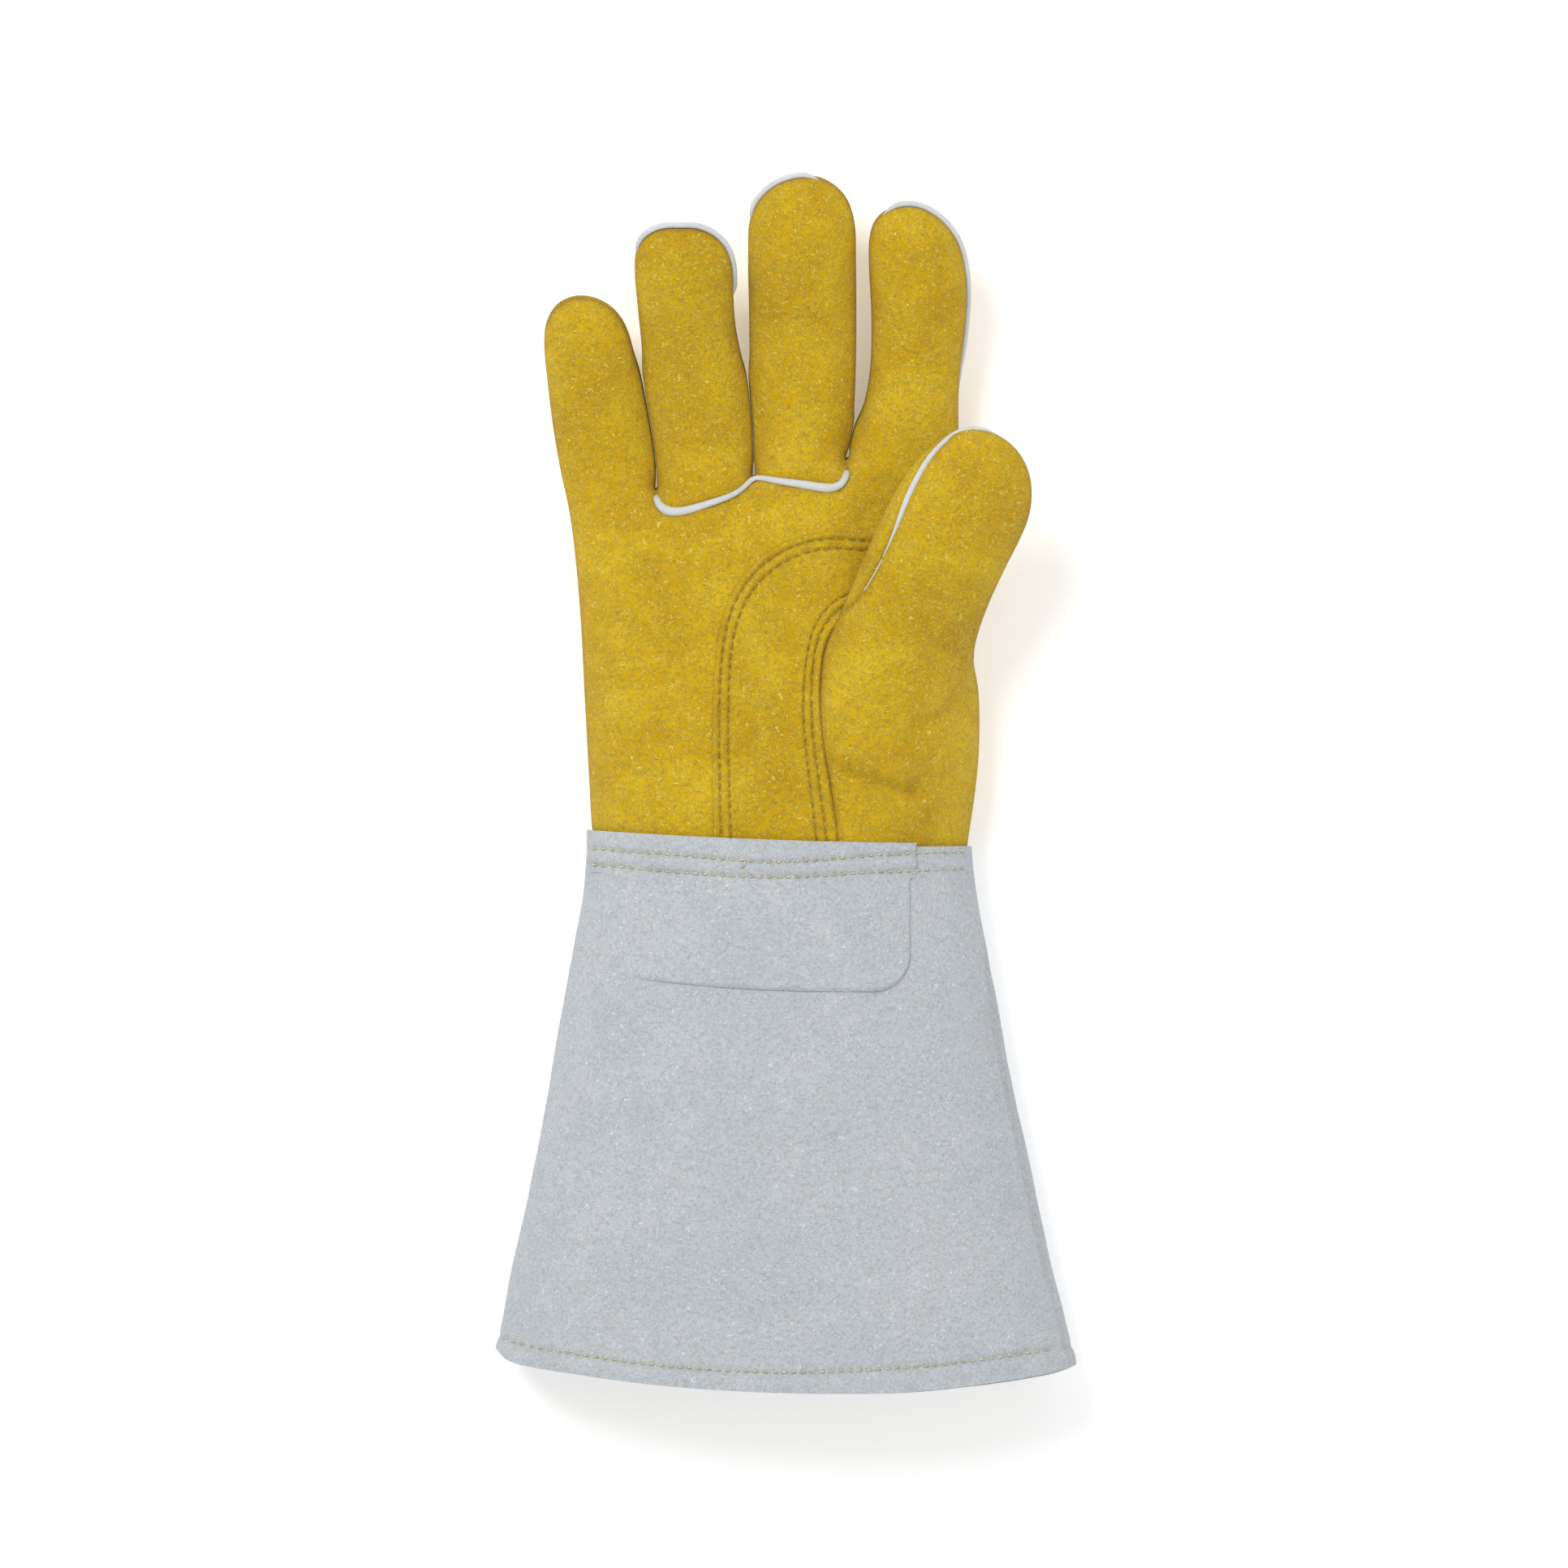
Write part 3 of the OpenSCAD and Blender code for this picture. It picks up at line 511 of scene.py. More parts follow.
def rough_cloth(name, *tones, nap=1.0, rough=(0.82, 0.97), sheen=0.35, tint=(1, 1, 1), cell=1.0, deep=1.0):
    """Split leather or flannel: broad mottling, short worm-like fibres and a fine nap, all from the rest shape,
    darkened by painted shade near seams.
    tones are its dark, middle and light colours and that of its fibres, each as red, green and blue out of 255."""
    dark, mid, light, fleck = (lin(c) for c in tones)
    m = bpy.data.materials.new(name)
    m.use_nodes = True
    t = m.node_tree
    b = t.nodes["Principled BSDF"]
    at = node(t, "ShaderNodeAttribute", attribute_name="rest")
    co = at.outputs["Vector"]
    def tex(scale, detail, roughness, distortion=0.0, kind="FBM"):
        n = node(t, "ShaderNodeTexNoise", noise_dimensions="3D", noise_type=kind, normalize=kind == "FBM")
        n.inputs["Scale"].default_value = scale / cell
        n.inputs["Detail"].default_value = detail
        n.inputs["Roughness"].default_value = roughness
        n.inputs["Distortion"].default_value = distortion
        t.links.new(co, n.inputs["Vector"])
        return n.outputs[0]
    def calc(kind, *values, **settings):
        n = node(t, kind, **settings)
        for k, v in enumerate(values):
            if isinstance(v, float):
                n.inputs[k].default_value = v
            elif v is not None:
                t.links.new(v, n.inputs[k])
        return n.outputs[0]
    broad = tex(34, 4, 0.6, 0.6)
    patchy = tex(150, 3, 0.6, 0.8)
    worms = tex(430, 1.0, 0.5, 1.8)
    grain = tex(1000, 2, 0.7, 0.4)
    fine = tex(1700, 3, 0.65, 0.6)
    base = ramp(t, broad, [(0.36, dark), (0.5, mid), (0.64, light)])
    def mix(a, c, fac, mode="MIX"):
        n = node(t, "ShaderNodeMix", data_type="RGBA", blend_type=mode)
        if isinstance(fac, float):
            n.inputs[0].default_value = fac
        else:
            t.links.new(fac, n.inputs[0])
        for s, v in ((n.inputs[6], a), (n.inputs[7], c)):
            if isinstance(v, tuple):
                s.default_value = (*v, 1)
            else:
                t.links.new(v, s)
        return n.outputs[2]
    mottled = ramp(t, patchy, [(0.33, tuple(v * 0.90 for v in mid)), (0.5, mid), (0.68, light)])
    base = mix(base, mottled, 0.42)
    ridge = calc("ShaderNodeMath", worms, 0.085, operation="PINGPONG")
    thin = calc("ShaderNodeMapRange", ridge, 0.030, 0.085, interpolation_type="SMOOTHSTEP")
    gate = calc("ShaderNodeMapRange", tex(640, 1, 0.5), 0.38, 0.52, interpolation_type="SMOOTHSTEP")
    fibre = calc("ShaderNodeMath", thin, gate, operation="MULTIPLY")
    base = mix(base, fleck, calc("ShaderNodeMath", fibre, 0.80 * nap, operation="MULTIPLY"))
    speck = ramp(t, grain, [(0.34, (0.80, 0.77, 0.60)), (0.50, (0.97, 0.96, 0.92)), (0.66, (1.0, 1.0, 1.0))])
    base = mix(base, speck, 0.85 * min(nap, 1.0), "MULTIPLY")
    # painted shade: the colour is multiplied down (to about two thirds at most) where the seam attribute is high,
    # standing in for the shade in seam grooves, stitch lines and at raw edges
    seam = node(t, "ShaderNodeAttribute", attribute_name="seam")
    painted_shade = ramp(t, seam.outputs["Fac"], [(0.0, (1, 1, 1)), (0.5, (0.90, 0.88, 0.80)), (1.0, (0.66, 0.62, 0.48))])
    base = mix(base, painted_shade, 1.0, "MULTIPLY")
    t.links.new(base, b.inputs["Base Color"])
    t.links.new(calc("ShaderNodeMapRange", fine, None, None, rough[1], rough[0]), b.inputs["Roughness"])
    h1 = calc("ShaderNodeMath", fibre, 0.55, grain, operation="MULTIPLY_ADD")
    h2 = calc("ShaderNodeMath", patchy, 1.1, h1, operation="MULTIPLY_ADD")
    bump = node(t, "ShaderNodeBump")
    bump.inputs["Strength"].default_value = 0.8 * deep
    bump.inputs["Distance"].default_value = 0.0005
    t.links.new(h2, bump.inputs["Height"])
    t.links.new(bump.outputs[0], b.inputs["Normal"])
    b.inputs["Sheen Weight"].default_value = sheen
    b.inputs["Sheen Roughness"].default_value = 0.55
    b.inputs["Sheen Tint"].default_value = (*tint, 1)
    b.inputs["Specular IOR Level"].default_value = 0.22
    return m


YELLOW = rough_cloth("yellow_suede", (180, 138, 0), (200, 162, 0), (216, 183, 30), (232, 208, 92),
                     sheen=0.12, tint=(1.0, 0.9, 0.5))
PATCH = rough_cloth("yellow_suede_patch", (176, 135, 0), (196, 158, 0), (212, 179, 30), (229, 205, 90),
                    sheen=0.12, tint=(1.0, 0.9, 0.5))
GREY = rough_cloth("grey_suede", (177, 184, 195), (184, 190, 199), (190, 194, 202), (220, 224, 230),
                   nap=0.85, sheen=0.12, tint=(0.9, 0.95, 1.0), deep=0.8)
COTTON = rough_cloth("cotton_lining", (204, 198, 184), (214, 209, 196), (222, 218, 206), (232, 229, 220),
                     nap=0.6, sheen=0.2, cell=1.4, deep=1.3)
WHITE = rough_cloth("white_welt", (192, 196, 198), (206, 209, 211), (216, 218, 220), (228, 230, 231),
                    nap=0.35, rough=(0.5, 0.66), sheen=0.05, cell=0.7, deep=0.4)
THREAD = rough_cloth("cream_thread", (214, 212, 176), (228, 227, 192), (238, 237, 208), (246, 245, 226),
                     nap=0.6, rough=(0.6, 0.8), sheen=0.1, cell=0.45, deep=1.2)
GOLD = rough_cloth("golden_thread", (172, 136, 10), (188, 152, 22), (202, 166, 40), (216, 186, 74),
                   nap=0.6, rough=(0.6, 0.8), sheen=0.1, cell=0.45, deep=1.2)


def make(name, verts, faces, mat, slot_name, loops=None, seam=None):
    """A Blender mesh object from millimetres, with its rest position and its painted seam shade (how far its colour is
    darkened near a seam) stored on it.
    """
    mesh = bpy.data.meshes.new(name)
    v = np.asarray(verts, float) * MM
    mesh.from_pydata(v.tolist(), [], [list(map(int, f)) for f in faces])
    mesh.polygons.foreach_set("use_smooth", [True] * len(mesh.polygons))
    rest = mesh.attributes.new("rest", "FLOAT_VECTOR", "POINT")
    rest.data.foreach_set("vector", v.astype(np.float32).ravel())
    near = mesh.attributes.new("seam", "FLOAT", "POINT")
    near.data.foreach_set("value", np.asarray(np.zeros(len(v)) if seam is None else seam, np.float32))
    mesh.materials.append(mat)
    mesh.update()
    if loops is not None:
        mesh.normals_split_custom_set(np.asarray(loops, float).tolist())
    o = bpy.data.objects.new(name, mesh)
    bpy.context.scene.collection.objects.link(o)
    return o


def slab(name, p, n, tris, mat, slot_name, thick=LEATHER, lift=0.0, seam=None):
    """A closed sheet of that thickness, whose outer face is the given surface. tris are triangles or quads."""
    tris = np.asarray(tris)
    used, flat = np.unique(tris, return_inverse=True)
    t = flat.reshape(tris.shape)
    n = n[used]
    outer = p[used] + n * lift
    inner = outer - n * thick
    m = len(used)
    a = t.ravel()
    b = np.roll(t, -1, axis=1).ravel()
    key = a.astype(np.int64) * m + b
    back = b.astype(np.int64) * m + a
    lone = ~np.isin(key, back)
    ra, rb = a[lone], b[lone]
    rim = np.stack([rb, ra, ra + m, rb + m], axis=1)
    verts = np.vstack([outer, inner])
    faces = [list(f) for f in t] + [list(f) for f in (t + m)[:, ::-1]] + [list(f) for f in rim]
    c = unit(np.cross(verts[rim[:, 1]] - verts[rim[:, 0]], verts[rim[:, 3]] - verts[rim[:, 0]]))
    loops = np.vstack([n[t.ravel()], -n[t[:, ::-1].ravel()], np.repeat(c, 4, axis=0)])
    # the painted seam shade, repeated for the inner face
    tint = None if seam is None else np.tile(seam[used], 2)
    o = make(name, verts, faces, mat, slot_name, loops, tint)
    o["cloth_area"] = area_of(outer, t) * MM * MM
    return o


def area_of(p, t):
    s = 0.0
    for k in range(1, t.shape[1] - 1):
        s += 0.5 * np.linalg.norm(np.cross(p[t[:, k]] - p[t[:, 0]], p[t[:, k + 1]] - p[t[:, 0]]), axis=1).sum()
    return float(s)


def tube(path, radius, sides=10, squash=1.0, up=None):
    """Vertices and faces of a closed cord along a path, thinner at both ends."""
    path = np.asarray(path, float)
    n = len(path)
    radius = np.broadcast_to(radius, n).astype(float)
    tan = unit(np.gradient(path, axis=0))
    verts, faces = [], []
    u = np.cross(tan[0], (0, 0, 1.0) if up is None else up[0])
    if np.linalg.norm(u) < 1e-6:
        u = np.cross(tan[0], (1.0, 0, 0))
    u /= np.linalg.norm(u)
    for i in range(n):
        if up is not None:
            u = np.cross(tan[i], up[i])
        u = u - tan[i] * (u @ tan[i])
        u /= max(np.linalg.norm(u), 1e-9)
        w = np.cross(u, tan[i])
        for k in range(sides):
            a = 2 * math.pi * k / sides
            verts.append(path[i] + radius[i] * (math.cos(a) * u + squash * math.sin(a) * w))
    for i in range(n - 1):
        for k in range(sides):
            j = (k + 1) % sides
            faces.append((i * sides + k, i * sides + j, (i + 1) * sides + j, (i + 1) * sides + k))
    verts += [path[0] - tan[0] * radius[0] * 0.6, path[-1] + tan[-1] * radius[-1] * 0.6]
    a, b = n * sides, n * sides + 1
    for k in range(sides):
        j = (k + 1) % sides
        faces.append((a, j, k))
        faces.append((b, (n - 1) * sides + k, (n - 1) * sides + j))
    return np.array(verts), faces


def join(bits):
    verts, faces, k = [], [], 0
    for v, f in bits:
        verts.append(v)
        faces += [tuple(int(i) + k for i in face) for face in f]
        k += len(v)
    return np.vstack(verts), faces


def outward(verts, faces):
    """Turns every face of a closed form the same way round as its volume asks."""
    s = 0.0
    for f in faces:
        for k in range(1, len(f) - 1):
            s += verts[f[0]] @ np.cross(verts[f[k]], verts[f[k + 1]])
    return faces if s > 0 else [tuple(reversed(f)) for f in faces]


def cords(name, bits, mat, slot_name):
    return make(name, *join([(v, outward(v, f)) for v, f in bits]), mat, slot_name)


# ---------- the thumb and the panel at its base ----------
THUMB_O = np.array([39.0, 34.0, 44.0])
THUMB_D = np.array([0.3505, 0.9336, -0.0745])
THUMB_SPLIT = 34.5
palm_tree = tree_of(FRONT, T)


def on_surface(tree, points, miss=20.0):
    """The highest point of a surface over each plan point, and its normal."""
    hit, nrm = [], []
    for x, y in np.asarray(points)[:, :2]:
        h, n, *_ = tree.ray_cast(Vector((x, y, 200)), Vector((0, 0, -1)))
        if h is None:
            h, n, *_ = tree.find_nearest(Vector((x, y, miss)))
            n = Vector((0, 0, 1))
        hit.append(tuple(h))
        nrm.append(tuple(n if n.z > 0 else -n))
    return np.array(hit), np.array(nrm)


inner_side = lens([(17.8, -34.5), (17.2, -19), (15.0, 0), (12.8, 12), (11.7, 25), (12.2, 37), (14, 47), (17, 53.8)], 41.0)
inner_side = np.column_stack([inner_side, on_surface(palm_tree, inner_side)[0][:, 2] - 2.2])
free_side = np.array([(20.4, 60.5, 44), (25.7, 73, 47), (31.8, 87, 51), (38.4, 99.5, 55), (45.6, 109.3, 58), (54.5, 116, 60), (64, 118.1, 60.5),
                      (72, 116, 60.5), (78.3, 110.6, 59.5), (82.0, 103, 58), (82.7, 95, 56.5), (81.5, 88, 54.5), (78.7, 81.3, 52.5), (73.8, 71.6, 48.5),
                      (68.4, 60, 42), (64.2, 48, 33), (63.3, 41, 27), (64.9, 31, 20), (65, 10, 17), (63.4, -6, 17), (61.4, -20, 17), (60.4, -34.5, 17)])
free_side[:, :2] = lens(free_side[:, :2], free_side[:, 2])
TH = spline(np.vstack([inner_side, free_side]), 1.4)
TH[0, 1] = TH[-1, 1] = LOW
low_row = np.stack([np.linspace(TH[-1, 0], TH[0, 0], 26), np.full(26, LOW)], axis=1)[1:-1]
THUMB_EDGE = np.vstack([TH[:, :2], low_row])
TH_T = (TH - THUMB_O) @ THUMB_D


def th_index(p):
    """The number of the thumb outline's point nearest to p."""
    return int(np.argmin(np.hypot(*(TH[:, :2] - p).T)))


def thumb_edge_near(x, y):
    return TH[th_index((x, y)), :2]


top_seam = cut_line(thumb_edge_near(56, 117), thumb_edge_near(18.6, 56.6), 1.5,
                    lens([(48.9, 109.2), (42, 97.3), (36.6, 84), (30.3, 70.8), (23.2, 60.2)], 60.0))
half = np.arange(len(TH)) < len(TH) // 2
on_halves = (half, ~half)
pick = [TH[np.where(side)[0][np.argmin(np.abs(TH_T[side] - THUMB_SPLIT))], :2]
        for side in (s & (TH[:, 1] > 40) for s in on_halves)]
low_pick = [TH[np.where(side)[0][np.argmin(np.abs(TH[side][:, 1]))], :2] for side in on_halves]
thumb_cut, low_cut = cut_line(*pick), cut_line(*low_pick)
TV, TT, t_edge = plan_mesh(THUMB_EDGE, [top_seam, thumb_cut, low_cut], open_row=LOW, pitch=1.9)
tg, tseg = gap_to(TV, TH[:, :2])
edge_z = np.array([TH[th_index(p), 2] for p in TV[t_edge]])
zb = np.zeros(len(TV))
zb[t_edge] = edge_z
ZB = settle(TV, TT, t_edge, zb, 0.0, 0.0)
TH_H = bulge(TV, TT, t_edge)
ty = TV[:, 1]
t_of = (np.column_stack([TV, ZB]) - THUMB_O) @ THUMB_D
t_soft = smooth(tg / 8)
th_front = TH_H * np.interp(ty, [-34, -15, 12, 40, 118], [0.60, 0.66, 0.82, 0.86, 0.84])
th_front += t_soft * (0.6 * wave(TV, 22, 5.5) + 0.3 * wave(TV, 9, 2.2))
creases = 0
for line, height, width, depth, much in (
        ([(19, 3.5), (27, 1), (36, -2), (44, -3)], 45.0, 2.2, 3.0, 1), ([(22, 8), (31, 5.5), (40, 3)], 45.0, 3.0, 1.6, -0.6),
        ([(44, 19), (54, 23), (63, 31)], 35.0, 2.6, 2.2, 1), ([(62, 4), (57, 13), (61, 24)], 30.0, 2.4, 2.2, 1),
        ([(52, 44), (58, 42), (63, 42)], 38.0, 3.0, 1.5, 1), ([(26, -9), (36, -13), (48, -14)], 42.0, 4, 1.2, 0.5)):
    creases = creases + much * crease(TV, lens(line, height), width, depth)
th_front += t_soft * creases
top_gap = gap_to(TV, top_seam)[0]
th_front -= 1.5 * np.exp(-((top_gap / 1.3) ** 2)) * smooth(tg / 1.5)
th_back = TH_H * 0.80
t_after = th_index((60, 117.5))
lane = TH[:, :2]


def thumb_groove(heights):
    return groove(TV, heights, tg, np.minimum(tseg, len(lane) - 2), lane, 0.9 * (tseg > t_after))


TF = np.column_stack([thumb_groove(th_front), ZB + th_front])
TB = np.column_stack([thumb_groove(th_back), ZB - th_back])
SWING_AXIS = np.array([-0.207912, 0.0, -0.978148])
CLEAR = 2.9                # room over the palm for the patch, its thread and the thumb's own leather
THUMB_KNEE, KNEE_AXIS = np.array([57.9508, 77.4115, 53.0067]), np.array([0.096574, -0.272425, 0.957318])


def turn_by(points, centre, axis, angle):
    """Points turned about an axis, each by its own angle."""
    a, r = angle[:, None], points - centre
    return r * np.cos(a) + np.cross(axis, r) * np.sin(a) + axis * (r @ axis)[:, None] * (1 - np.cos(a)) + centre


raise_by = np.zeros(len(TB))
for swing, knee in ((0, 0), (-2.5, 0), (-5, 0), (-7.5, 0), (-10, 0), (0, 13), (0, 27), (0, 40)):
    turned = turn_by(TB, THUMB_KNEE, KNEE_AXIS, np.radians(knee) * smooth((t_of - 35) / 23))
    turned = turn_by(turned, THUMB_O, SWING_AXIS, np.radians(swing) * smooth((t_of - 6) / 27))
    under, _ = on_surface(palm_tree, turned[:, :2])
    raise_by = np.maximum(raise_by, (under[:, 2] + CLEAR - turned[:, 2]) * inside(turned[:, :2], EDGE))
raise_by = np.maximum(raise_by, 0)
for _ in range(3):         # a calm underside, with no step where the contact ends
    total, count = raise_by.copy(), np.ones(len(TB))
    for a, b in ((0, 1), (1, 2), (2, 0)):
        np.add.at(total, TT[:, a], raise_by[TT[:, b]])
        np.add.at(total, TT[:, b], raise_by[TT[:, a]])
        np.add.at(count, TT[:, a], 1)
        np.add.at(count, TT[:, b], 1)
    raise_by = np.maximum(raise_by, total / count)
raise_by *= smooth((t_of - 10) / 12) * smooth(tg / 2)
TB[:, 2] += np.minimum(raise_by, np.maximum(TF[:, 2] - TB[:, 2] - 6.5 * smooth(tg / 4), 0))
tmid = TV[TT].mean(1)
tri_t = t_of[TT].mean(1)
in_strip = inside(tmid, np.vstack([TH[th_index(top_seam[-1]):th_index(top_seam[0]) + 1, :2], top_seam[1:-1]]))
in_tip = inside(tmid, np.vstack([TH[th_index(thumb_cut[0]):th_index(thumb_cut[-1]) + 1, :2], thumb_cut[::-1][1:-1]]))
nT = len(TV)
share = np.arange(nT) + nT
share[t_edge] = np.arange(nT)[t_edge]
UNDER = share[TT[:, ::-1]]
keep_under = tri_t > -14
ALL_P = np.vstack([TF, TB])
ALL_P[:nT][t_edge] = (TF[t_edge] + TB[t_edge]) / 2
ALL_N = normals(ALL_P, np.vstack([TT, UNDER[keep_under]]))
thumb_tree = tree_of(TF, TT)
t_crotch = th_index((18.0, 56.0))
# painted shade along the thumb's seams: the colour is darkened near its top seam and its outline
seam_at = np.minimum(top_gap, np.where((tseg > t_after) | (tseg < t_crotch), tg, 9))
thumb_seam_shade = np.concatenate([np.exp(-((seam_at / 1.1) ** 2)), np.exp(-((tg / 1.1) ** 2))])


# ---------- leather pieces of the hand, fingers and thumb ----------
# painted shade: how far the leather's colour is darkened along the outline seam and the palm's seams, where the surface
# dips into a groove
front_seam_shade = np.exp(-((np.minimum(edge_gap, seam_gap) / 1.0) ** 2))
back_seam_shade = np.exp(-((edge_gap / 1.0) ** 2))
mid_3d = np.column_stack([mid, FRONT[T].mean(1)[:, 2]])
under_thumb = inside(mid, THUMB_EDGE) & ((mid_3d - THUMB_O) @ THUMB_D < 2)
under_thumb &= gap_to(mid, TH[:th_index((17, 53.8)), :2])[0] > 3.2
palm_t = T[(front_of < 0) & ~under_thumb]
back_t = T[back_of < 0][:, ::-1]


def wrist(o):
    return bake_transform(o)


def finger_blend(o):
    """Bakes a finger piece's placement into its mesh."""
    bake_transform(o)


def sheet(name, nodes, flat, *shape, **looks):
    """A leather or cloth piece: its closed form, the CAD nodes that it stands for and the size it is cut to, which is
    not used.
    """
    o = slab(name, *shape, **looks)
    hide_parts(*nodes)
    return o


def yellow(name, nodes, flat, p, n, tris, seam):
    return sheet(name, nodes, flat, p, n, tris, YELLOW, "yellow_suede", seam=seam)


def lining_piece(name, p, n, tris, nodes, flat):
    return sheet(name, nodes, flat, p, n, tris, COTTON, "cotton_lining", LINING, LINING_LIFT)


def both_sides(t):
    return np.vstack([t, t[:, ::-1] + len(V)])


HAND_FLAT = (0.150, 0.160)
wrist(yellow("palm_leather", ["hand_palm_panel"], HAND_FLAT, FRONT, FRONT_N, palm_t, front_seam_shade))
wrist(yellow("back_leather", ["hand_back_panel"], HAND_FLAT, BACK, BACK_N, back_t, back_seam_shade))
LINING_LIFT, LINING = -1.55, 0.8
both_p = np.vstack([FRONT, BACK])
both_n = np.vstack([FRONT_N, BACK_N])
wrist(lining_piece("hand_lining_cloth", both_p, both_n, both_sides(T[back_of < 0]), ["hand_lining"], (0.290, 0.160)))
CUT = [((0.048, 0.045), (0.050, 0.062)), ((0.050, 0.045), (0.052, 0.084)),    # each finger's base and tip, as cut
       ((0.052, 0.045), (0.054, 0.094)), ((0.056, 0.045), (0.056, 0.082))]
for f, word in enumerate(NAMES):
    for side, p, n, tint, of in (("front", FRONT, FRONT_N, front_seam_shade, front_of), ("back", BACK, BACK_N, back_seam_shade, back_of)):
        for tip, end in enumerate(("base", "tip")):
            sel = (tip_of == f) if tip else ((of == f) & (tip_of != f))
            t = T[sel] if side == "front" else T[sel][:, ::-1]
            o = yellow(f"{word}_{end}_{side}_leather", [f"{word}_{end}_{side}"], CUT[f][tip], p, n, t, tint)
            finger_blend(o)
    for tip, end in enumerate(("base", "tip")):
        sel = (tip_of == f) if tip else ((back_of == f) & (tip_of != f))
        o = lining_piece(f"{word}_{end}_lining_cloth", both_p, both_n, both_sides(T[sel]),
                         [f"{word}_{end}_lining"], (0.100, CUT[f][tip][1]))
        finger_blend(o)


def thumb_blend(o, tip):
    if tip:
        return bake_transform(o)
    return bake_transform(o)


low_side = tmid[:, 1] < 0
PANELS = [("thenar_leather", "thenar_panel", (0.062, 0.040), TT[low_side]),
          ("thumb_base_front_leather", "thumb_base_front", (0.085, 0.085), TT[~low_side & ~in_tip & ~in_strip]),
          ("thumb_tip_front_leather", "thumb_tip_front", (0.062, 0.072), TT[in_tip & ~in_strip]),
          ("thumb_base_back_leather", "thumb_base_back", (0.085, 0.085),
           np.vstack([TT[in_strip & ~in_tip], UNDER[keep_under & ~in_tip]])),
          ("thumb_tip_back_leather", "thumb_tip_back", (0.066, 0.072), np.vstack([TT[in_strip & in_tip], UNDER[in_tip]]))]
for name, what, flat, tris in PANELS:
    o = yellow(name, [what], flat, ALL_P, ALL_N, tris, thumb_seam_shade)
    if what == "thenar_panel":
        wrist(o)
    else:
        thumb_blend(o, "tip" in what)
base_faces = ~in_tip & (tri_t > -6)
for end, top, bottom, flat in (("base", base_faces, base_faces & keep_under, (0.120, 0.060)), ("tip", in_tip, in_tip, (0.115, 0.072))):
    o = lining_piece(f"thumb_{end}_lining_cloth", ALL_P, ALL_N, np.vstack([TT[top], UNDER[bottom]]), [f"thumb_{end}_lining"], flat)
    thumb_blend(o, end == "tip")


# ---------- piping ----------
def out_of(run, outline):
    """The direction away from an outline's inside, at each point of a run along it."""
    tan = unit(np.gradient(run, axis=0))
    return np.stack([tan[:, 1], -tan[:, 0]], axis=1) * area_sign(outline)


def taper(n, start, over):
    """1 along the middle of a run of n points, falling off towards both ends."""
    i = np.arange(n)
    return smooth(np.minimum(i + start, n - 1 + start - i) / over)


HIDE, CLEAR_OF = (-1.7, 0.45), (0.12, 1.04)     # distance outward and radius of a sunk cord, and of one in full view


def edge_cord(a, b, who, show):
    """A cord along the outline from index a to b. show(point) is 1 where it stands clear of the leather and 0 where it is sunk."""
    run = EDGE[a:b + 1]
    w = show(run)
    off, r = (low + (high - low) * w for low, high in zip(HIDE, CLEAR_OF))
    path = bend(run + out_of(run, EDGE) * off[:, None], 0.45 * w, np.full(len(run), who))
    return tube(path, r * taper(len(run), 1.5, 2))


def piping(name, node_name, bits):
    o = cords(name, bits, WHITE, "white_welt")
    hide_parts(node_name)
    return o


def unseen(p):
    return np.zeros(len(p))


SHOW = [unseen,
        lambda p: smooth((p[:, 1] - 172 + 0.5 * (p[:, 0] + 50)) / 10) * smooth((p[:, 1] - 158) / 8),
        lambda p: smooth((14 - p[:, 0]) / 8) * smooth((p[:, 1] - 184) / 8),
        lambda p: smooth((p[:, 0] - 30) / 8) * smooth((p[:, 1] - 118) / 30)]
for f, word in enumerate(NAMES):
    a, b = index_of(root_lines[f][0]), index_of(root_lines[f][-1])
    c, d = index_of(split_lines[f][0]), index_of(split_lines[f][-1])
    finger_blend(piping(f"{word}_base_piping", f"{word}_base_welt",
                        [edge_cord(a, c, f, SHOW[f]), edge_cord(d, b, f, SHOW[f])]))
    finger_blend(piping(f"{word}_tip_piping", f"{word}_tip_welt", [edge_cord(c, d, f, SHOW[f])]))
side_a = edge_cord(1, index_of(root_lines[0][0]), 0, unseen)
side_b = edge_cord(index_of(root_lines[3][-1]), index_of(RIGHT[-1]) - 1, 3, unseen)
wrist(piping("hand_side_piping", "hand_side_welt", [side_a, side_b]))
base_path = np.vstack([seam_ring, seam_middle[1:]])
base_path = spline(base_path[::2], 1.0)
for _ in range(10):
    base_path[1:-1] = (base_path[:-2] + 2 * base_path[1:-1] + base_path[2:]) / 4
base_path = base_path[((base_path[:, 0] > -20) | (base_path[:, 1] < 96.5)) & ((base_path[:, 0] < 10) | (base_path[:, 1] < 104.5))]


def calm(values, times=6):
    """A run of values with its small jumps smoothed away."""
    v = np.array(values, float)
    for _ in range(times):
        v[1:-1] = (v[:-2] + 2 * v[1:-1] + v[2:]) / 4
    return v


def cover(tree, points, reach):
    """Height of a surface beside a seam line: the mean of both banks, so a cord doesn't follow the groove's floor."""
    tan = unit(np.gradient(points[:, :2], axis=0))
    side = np.stack([-tan[:, 1], tan[:, 0]], axis=1) * reach
    a, na = on_surface(tree, points[:, :2] + side)
    b, nb = on_surface(tree, points[:, :2] - side)
    h = np.column_stack([points[:, :2], calm((a[:, 2] + b[:, 2]) / 2, 14)])
    return h, unit(calm(na + nb, 14), 0)


